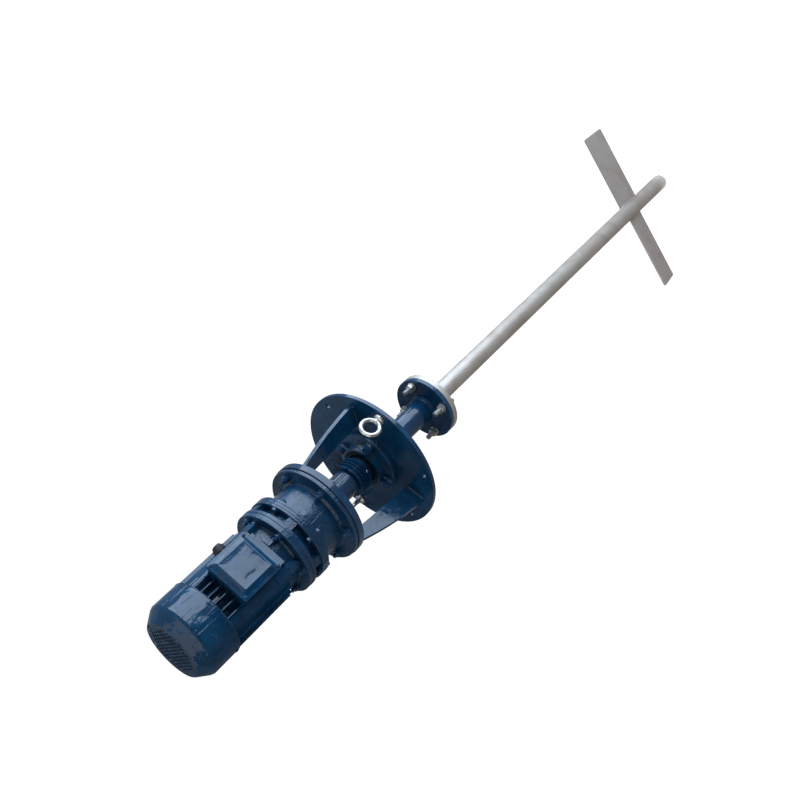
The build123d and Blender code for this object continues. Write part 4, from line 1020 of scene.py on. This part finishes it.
@dataclass
class Motor:
    """Finned frame, end shields, fan cover and terminal box."""

    finishes: Finishes
    stud_radius: float = 4.0 * MM
    stud_circle: float = 88.0 * MM
    standout: float = 6.5 * MM
    flange_thickness: float = 12.0 * MM
    fin_offsets: tuple[float, ...] = tuple(MM * offset for offset in (-44.0, -27.0, -9.0, 9.0, 27.0, 44.0))
    lug_length: float = 36.0 * MM
    pad_angle: float = -82.0
    lid_screw_place: float = 45.2 * MM
    lid_seat: float = 99.5 * MM
    lid_rim_face: float = 105.5 * MM
    box_height: float = 436.0 * MM
    cover_screw_angles: tuple[float, ...] = (-90.0, 0.0, 90.0, 180.0)
    rolled_edge: WeldBead = WeldBead(radius=1.5 * MM, ripple=0.0, wander=0.25, step=3.0 * MM)

    def build(self) -> None:
        """Dress the motor and make its fasteners."""
        self.finishes.dress("fan_cover", self.finishes.sheet)
        self.finishes.dress("tie_bolts", self.finishes.small)
        nut_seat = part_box("drive_end_shield")[0].z + self.flange_thickness
        BoltCircle("motor_bolts", Body.STAND, self.stud_radius, self.stud_circle, 6, 30.0 + DRIVE_CLOCK,
                   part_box("motor_bolts")[0].z, nut_seat + 2.0 * self.stud_radius + self.standout, nut_seat,
                   stud=True).build(self.finishes.small)
        self.make_frame()
        self.make_lid()
        self.add_bell_pad()
        self.add_screws()
        self.roll_cover_edge()

    def make_frame(self) -> None:
        """The cast frame: core, tapered fins cut off at a common radius, and smooth corner rails."""
        store = MeshStore()
        low, high = (corner.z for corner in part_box("motor_frame"))
        core, bore, reach = 66.0 * MM, 58.0 * MM, 86.0 * MM
        clock = spun(DRIVE_CLOCK)
        ends = [(bore, low), (core - 1.0 * MM, low), (core, low + 1.0 * MM), (core, high - 1.0 * MM),
                (core - 1.0 * MM, high), (bore, high)]
        store.add_lathe(ends, clock, 96, closed=False)
        fin_low, fin_high = low + 8.0 * MM, high - 5.0 * MM
        box_low, box_high = self.box_height - 48.0 * MM, self.box_height + 48.0 * MM
        for side in range(4):
            turn = clock @ spun(90.0 * side)
            spans = [(box_high, fin_high)] if side == 0 else [(fin_low, fin_high)]
            for offset in self.fin_offsets:
                root = math.sqrt(core ** 2 - (abs(offset) + 2.0 * MM) ** 2) - 2.0 * MM
                tip = math.sqrt(reach ** 2 - (abs(offset) + 1.3 * MM) ** 2)
                outline = [(offset - 2.0 * MM, -root), (offset - 1.3 * MM, 0.8 * MM - tip),
                           (offset - 0.7 * MM, -tip), (offset + 0.7 * MM, -tip),
                           (offset + 1.3 * MM, 0.8 * MM - tip), (offset + 2.0 * MM, -root)]
                for start, end in spans:
                    store.add_prism(outline, start, end, turn)
            corner = turn @ spun(45.0)
            rail = self.rail_outline(core - 6.0 * MM, reach - 1.5 * MM, 10.5)
            lug = self.rail_outline(core - 6.0 * MM, reach + 0.6 * MM, 6.4)
            store.add_prism(rail, low + 2.0 * MM, fin_high, corner)
            store.add_prism(lug, low, low + self.lug_length, corner)
            store.add_prism(lug, fin_high - 22.0 * MM, fin_high, corner)
        half, face = 45.0 * MM, 79.0 * MM
        neck = [(-half, -56.0 * MM), (1.5 * MM - half, -face), (half - 1.5 * MM, -face), (half, -56.0 * MM)]
        store.add_prism(neck, low + 1.0 * MM, box_low, clock)
        store.stand_in("motor_frame", Body.STAND, self.finishes.plate)

    @staticmethod
    def rail_outline(root: float, reach: float, half_angle: float) -> Ring:
        """The outline of a corner rail that points along +x, smooth and round on its outer face.

        Args:
            root: Radius that it starts from.
            reach: Radius of its outer face.
            half_angle: Half its width, in degrees.

        Returns:
            Its (x, y) corners.
        """
        half = reach * math.sin(math.radians(half_angle))
        outer = [math.radians(half_angle * (i / 6.0 - 1.0)) for i in range(13)]
        edge = 1.2 * MM
        arc = [(reach * math.cos(t), reach * math.sin(t)) for t in outer[1:-1]]
        foot_x = reach * math.cos(math.radians(half_angle)) - edge
        return [(root, -half), (foot_x, -half), *arc, (foot_x, half), (root, half)]

    def make_lid(self) -> None:
        """The terminal box's lid: flat rim, screw corners, a sloped channel and a raised panel."""
        store = MeshStore()
        place = spun(DRIVE_CLOCK) @ Matrix.Translation(
            (0.0, -self.lid_seat, self.box_height)) @ Matrix.Rotation(math.tau / 4, 4, "X")
        wide, tall = 52.0 * MM, 51.5 * MM
        rows = ((0.0, 4.0, 0.0), (0.0, 4.0, 5.2), (0.3, 3.8, 5.8), (0.9, 3.6, 6.0), (5.6, 10.0, 6.0),
                (6.2, 9.6, 6.3), (14.0, 3.4, 11.4), (14.5, 3.0, 11.8), (15.4, 2.6, 12.0),
                (16.6, 2.6, 12.05), (17.2, 2.4, 11.8), (30.0, 2.0, 11.75))
        loops = [rounded_rectangle(wide - inset * MM, tall - inset * MM, corner * MM, height * MM, 10)
                 for inset, corner, height in rows]
        store.skin(loops, place)
        store.stand_in("box_lid", Body.STAND, self.finishes.lid)

    def add_bell_pad(self) -> None:
        """A small machined pad on the bell beside the terminal box."""
        store = MeshStore()
        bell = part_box("drive_end_shield")[1].z
        half_tall = 10.5 * MM
        place = spun(DRIVE_CLOCK + self.pad_angle) @ moved(66.0 * MM, bell - half_tall) @ Matrix.Rotation(
            math.tau / 4, 4, "Y")
        loops = [rounded_rectangle(half_tall - inset * MM, (11.5 - inset) * MM, 2.5 * MM, height * MM)
                 for inset, height in ((0.0, 0.0), (0.0, 13.0), (0.3, 13.7), (1.1, 14.0))]
        store.skin(loops, place)
        store.build("bell_pad", Body.STAND, Slot.ENAMEL, self.finishes.cast)

    def add_screws(self) -> None:
        """Cross-recess screws of the fan cover and the terminal box's lid."""
        store = MeshStore()
        low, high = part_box("cover_screws")
        cover_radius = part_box("fan_cover")[1].x
        for angle in self.cover_screw_angles:
            out = turned_about(angle + DRIVE_CLOCK, Vector((1.0, 0.0, 0.0)))
            foot = out * cover_radius + UP * ((low.z + high.z) / 2)
            CrossScrew(4.0 * MM, 2.4 * MM, 2.0 * MM).add(store, facing(foot, out))
        store.stand_in("cover_screws", Body.STAND, self.finishes.small)
        store = MeshStore()
        out = turned_about(DRIVE_CLOCK, Vector((0.0, -1.0, 0.0)))
        for across in (-self.lid_screw_place, self.lid_screw_place):
            for along in (-self.lid_screw_place, self.lid_screw_place):
                corner = Vector((across, -self.lid_rim_face, self.box_height + along))
                foot = turned_about(DRIVE_CLOCK, corner)
                spin = Matrix.Rotation(across * 40.0 + along * 25.0, 4, "Z")
                CrossScrew(3.6 * MM, 2.6 * MM, 2.0 * MM).add(store, facing(foot, out) @ spin)
        store.stand_in("lid_screws", Body.STAND, self.finishes.small)

    def roll_cover_edge(self) -> None:
        """The rolled edge at the fan cover's open end."""
        low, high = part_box("fan_cover")
        radius = high.x - 0.9 * MM
        store = MeshStore()
        self.rolled_edge.lay(store, self.rolled_edge.circle(radius, low.z + 1.0 * MM), UP, True)
        store.build("cover_rolled_edge", Body.STAND, Slot.ENAMEL, self.finishes.sheet)


# ---------------------------------------------------------------- studio


@dataclass(frozen=True)
class SoftBox:
    """A rectangular soft light aimed at one point."""

    name: str
    azimuth: float
    elevation: float
    distance: float
    size: tuple[float, float]
    radiance: float
    colour: Colour
    mirrored: bool = True
    aim: Colour = (0.0, 0.0, 0.1)

    def build(self) -> None:
        """Place the light."""
        lamp = bpy.data.lights.new(self.name, "AREA")
        lamp.shape = "RECTANGLE"
        lamp.size, lamp.size_y = self.size
        lamp.energy = self.radiance * math.pi * self.size[0] * self.size[1]
        lamp.color = self.colour
        holder = bpy.data.objects.new(self.name, lamp)
        bpy.context.scene.collection.objects.link(holder)
        a, e = math.radians(self.azimuth), math.radians(self.elevation)
        away = Vector((math.cos(a) * math.cos(e), math.sin(a) * math.cos(e), math.sin(e)))
        holder.location = Vector(self.aim) + away * self.distance
        holder.rotation_mode = "QUATERNION"
        holder.rotation_quaternion = (-away).to_track_quat("-Z", "Y")
        holder.visible_camera = False
        holder.visible_glossy = self.mirrored
        LOG.info("light %s", self.name)


@dataclass(frozen=True)
class Flag:
    """A curved card round the object, or a flat one under it, that only its reflections show."""

    name: str
    from_azimuth: float
    to_azimuth: float
    low: float
    high: float
    colour: Colour
    radius: float = 3.4
    foot: float = 3.4
    segments: int = 24

    def build(self) -> None:
        """Stand the card in the studio."""
        rows = []
        for radius, height in ((self.foot, self.low), (self.radius, self.high)):
            for i in range(self.segments + 1):
                turn = math.radians(self.from_azimuth
                                    + (self.to_azimuth - self.from_azimuth) * i / self.segments)
                rows.append((radius * math.cos(turn), radius * math.sin(turn), height))
        across = self.segments + 1
        faces = [(i, i + 1, across + i + 1, across + i) for i in range(self.segments)]
        material = bpy.data.materials.new(self.name)
        web = NodeWeb(material)
        web.finish("Material", web.add("Emission", "Emission", Color=self.colour))
        card = mesh_object(self.name, rows, faces, material)
        card.visible_camera = card.visible_diffuse = card.visible_shadow = False
        card.visible_transmission = card.visible_volume_scatter = False
        card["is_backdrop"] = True
        LOG.info("card %s", self.name)


@dataclass
class Studio:
    """Pale floor, white surroundings, soft lights and the camera."""

    camera_aim: Colour = (0.0500, -0.0184, -0.1634)
    camera_distance: float = 2.310
    camera_azimuth: float = -20.209
    camera_elevation: float = 34.833
    camera_roll: float = 132.988
    camera_lens: float = 44.365
    floor_half: float = 40.0
    floor_colour: Colour = (0.80, 0.80, 0.80)
    glow: float = 0.74
    ambient: float = 0.34
    boxes: tuple[SoftBox, ...] = (
        SoftBox("key_light", -52.0, -22.0, 1.9, (2.9, 1.8), 4.2, (0.74, 0.87, 1.0)),
        SoftBox("ground_bounce", 132.0, 34.0, 2.2, (2.6, 2.0), 0.7, (1.0, 0.86, 0.76), False),
        SoftBox("top_light", -100.0, 78.0, 2.4, (1.6, 1.6), 0.7, (1.0, 1.0, 1.0), False),
    )
    flags: tuple[Flag, ...] = (
        Flag("dark_card", -107.0, -156.0, -1.4, 3.0, (0.012, 0.014, 0.018)),
        Flag("ground_card", -156.0, -292.0, -1.4, 4.0, (0.10, 0.088, 0.082)),
        Flag("sky_card", 68.0, -107.0, -1.4, 4.0, (0.26, 0.33, 0.42)),
        Flag("floor_card", 0.0, 360.0, -1.4455, -1.4455, (0.30, 0.275, 0.25), foot=0.05),
    )

    def build(self) -> None:
        """Make the studio."""
        self.lay_floor()
        self.light_world()
        for piece in (*self.boxes, *self.flags):
            piece.build()
        self.place_camera()
        bpy.context.scene.view_settings.view_transform = "Standard"

    def lay_floor(self) -> None:
        """The pale floor at the foot of the shaft."""
        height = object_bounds()[0].z - 0.001
        corners = [(x * self.floor_half, y * self.floor_half, height) for x, y in
                   ((-1, -1), (1, -1), (1, 1), (-1, 1))]
        material = bpy.data.materials.new("floor")
        web = NodeWeb(material)
        matt = web.add("BsdfDiffuse", "BSDF", Color=self.floor_colour)
        lift = web.add("Emission", "Emission", Strength=web.combine(web.seen_rays(), self.glow))
        web.finish("Material", web.add("AddShader", "Shader", matt, lift))
        mesh_object("floor", corners, [(0, 1, 2, 3)], material)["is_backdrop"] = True

    def light_world(self) -> None:
        """White surroundings, with a plain ambient light on the object."""
        world = bpy.data.worlds.new("surroundings")
        bpy.context.scene.world = world
        web = NodeWeb(world)
        level = web.add("MapRange", "Result", Value=web.seen_rays(), To_Min=self.ambient, To_Max=1.0)
        web.finish("World", web.add("Background", "Background", Color=(1.0, 1.0, 1.0), Strength=level))

    def place_camera(self) -> None:
        """The camera, set by its direction, distance and roll."""
        lens = bpy.data.cameras.new("camera")
        lens.lens = self.camera_lens
        lens.sensor_width = 36.0
        lens.clip_start, lens.clip_end = 0.05, 100.0
        camera = bpy.data.objects.new("camera", lens)
        bpy.context.scene.collection.objects.link(camera)
        a, e = math.radians(self.camera_azimuth), math.radians(self.camera_elevation)
        back = Vector((math.sin(a) * math.cos(e), -math.cos(a) * math.cos(e), math.sin(e)))
        camera.location = Vector(self.camera_aim) + back * self.camera_distance
        camera.rotation_mode = "QUATERNION"
        roll = Quaternion((0.0, 0.0, 1.0), -math.radians(self.camera_roll))
        camera.rotation_quaternion = (-back).to_track_quat("-Z", "Y") @ roll
        bpy.context.scene.camera = camera


def main() -> None:
    """Build every sub-assembly and the studio."""
    logging.basicConfig(level=logging.INFO, format="%(name)s %(message)s")
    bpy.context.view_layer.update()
    finishes = Finishes()
    finishes.dress_all()
    for assembly in (Stand(finishes), Reducer(finishes), Motor(finishes), ShaftLine(finishes)):
        assembly.build()
        LOG.info("%s is done", type(assembly).__name__)
    Studio().build()


if __name__ == "__main__":
    main()
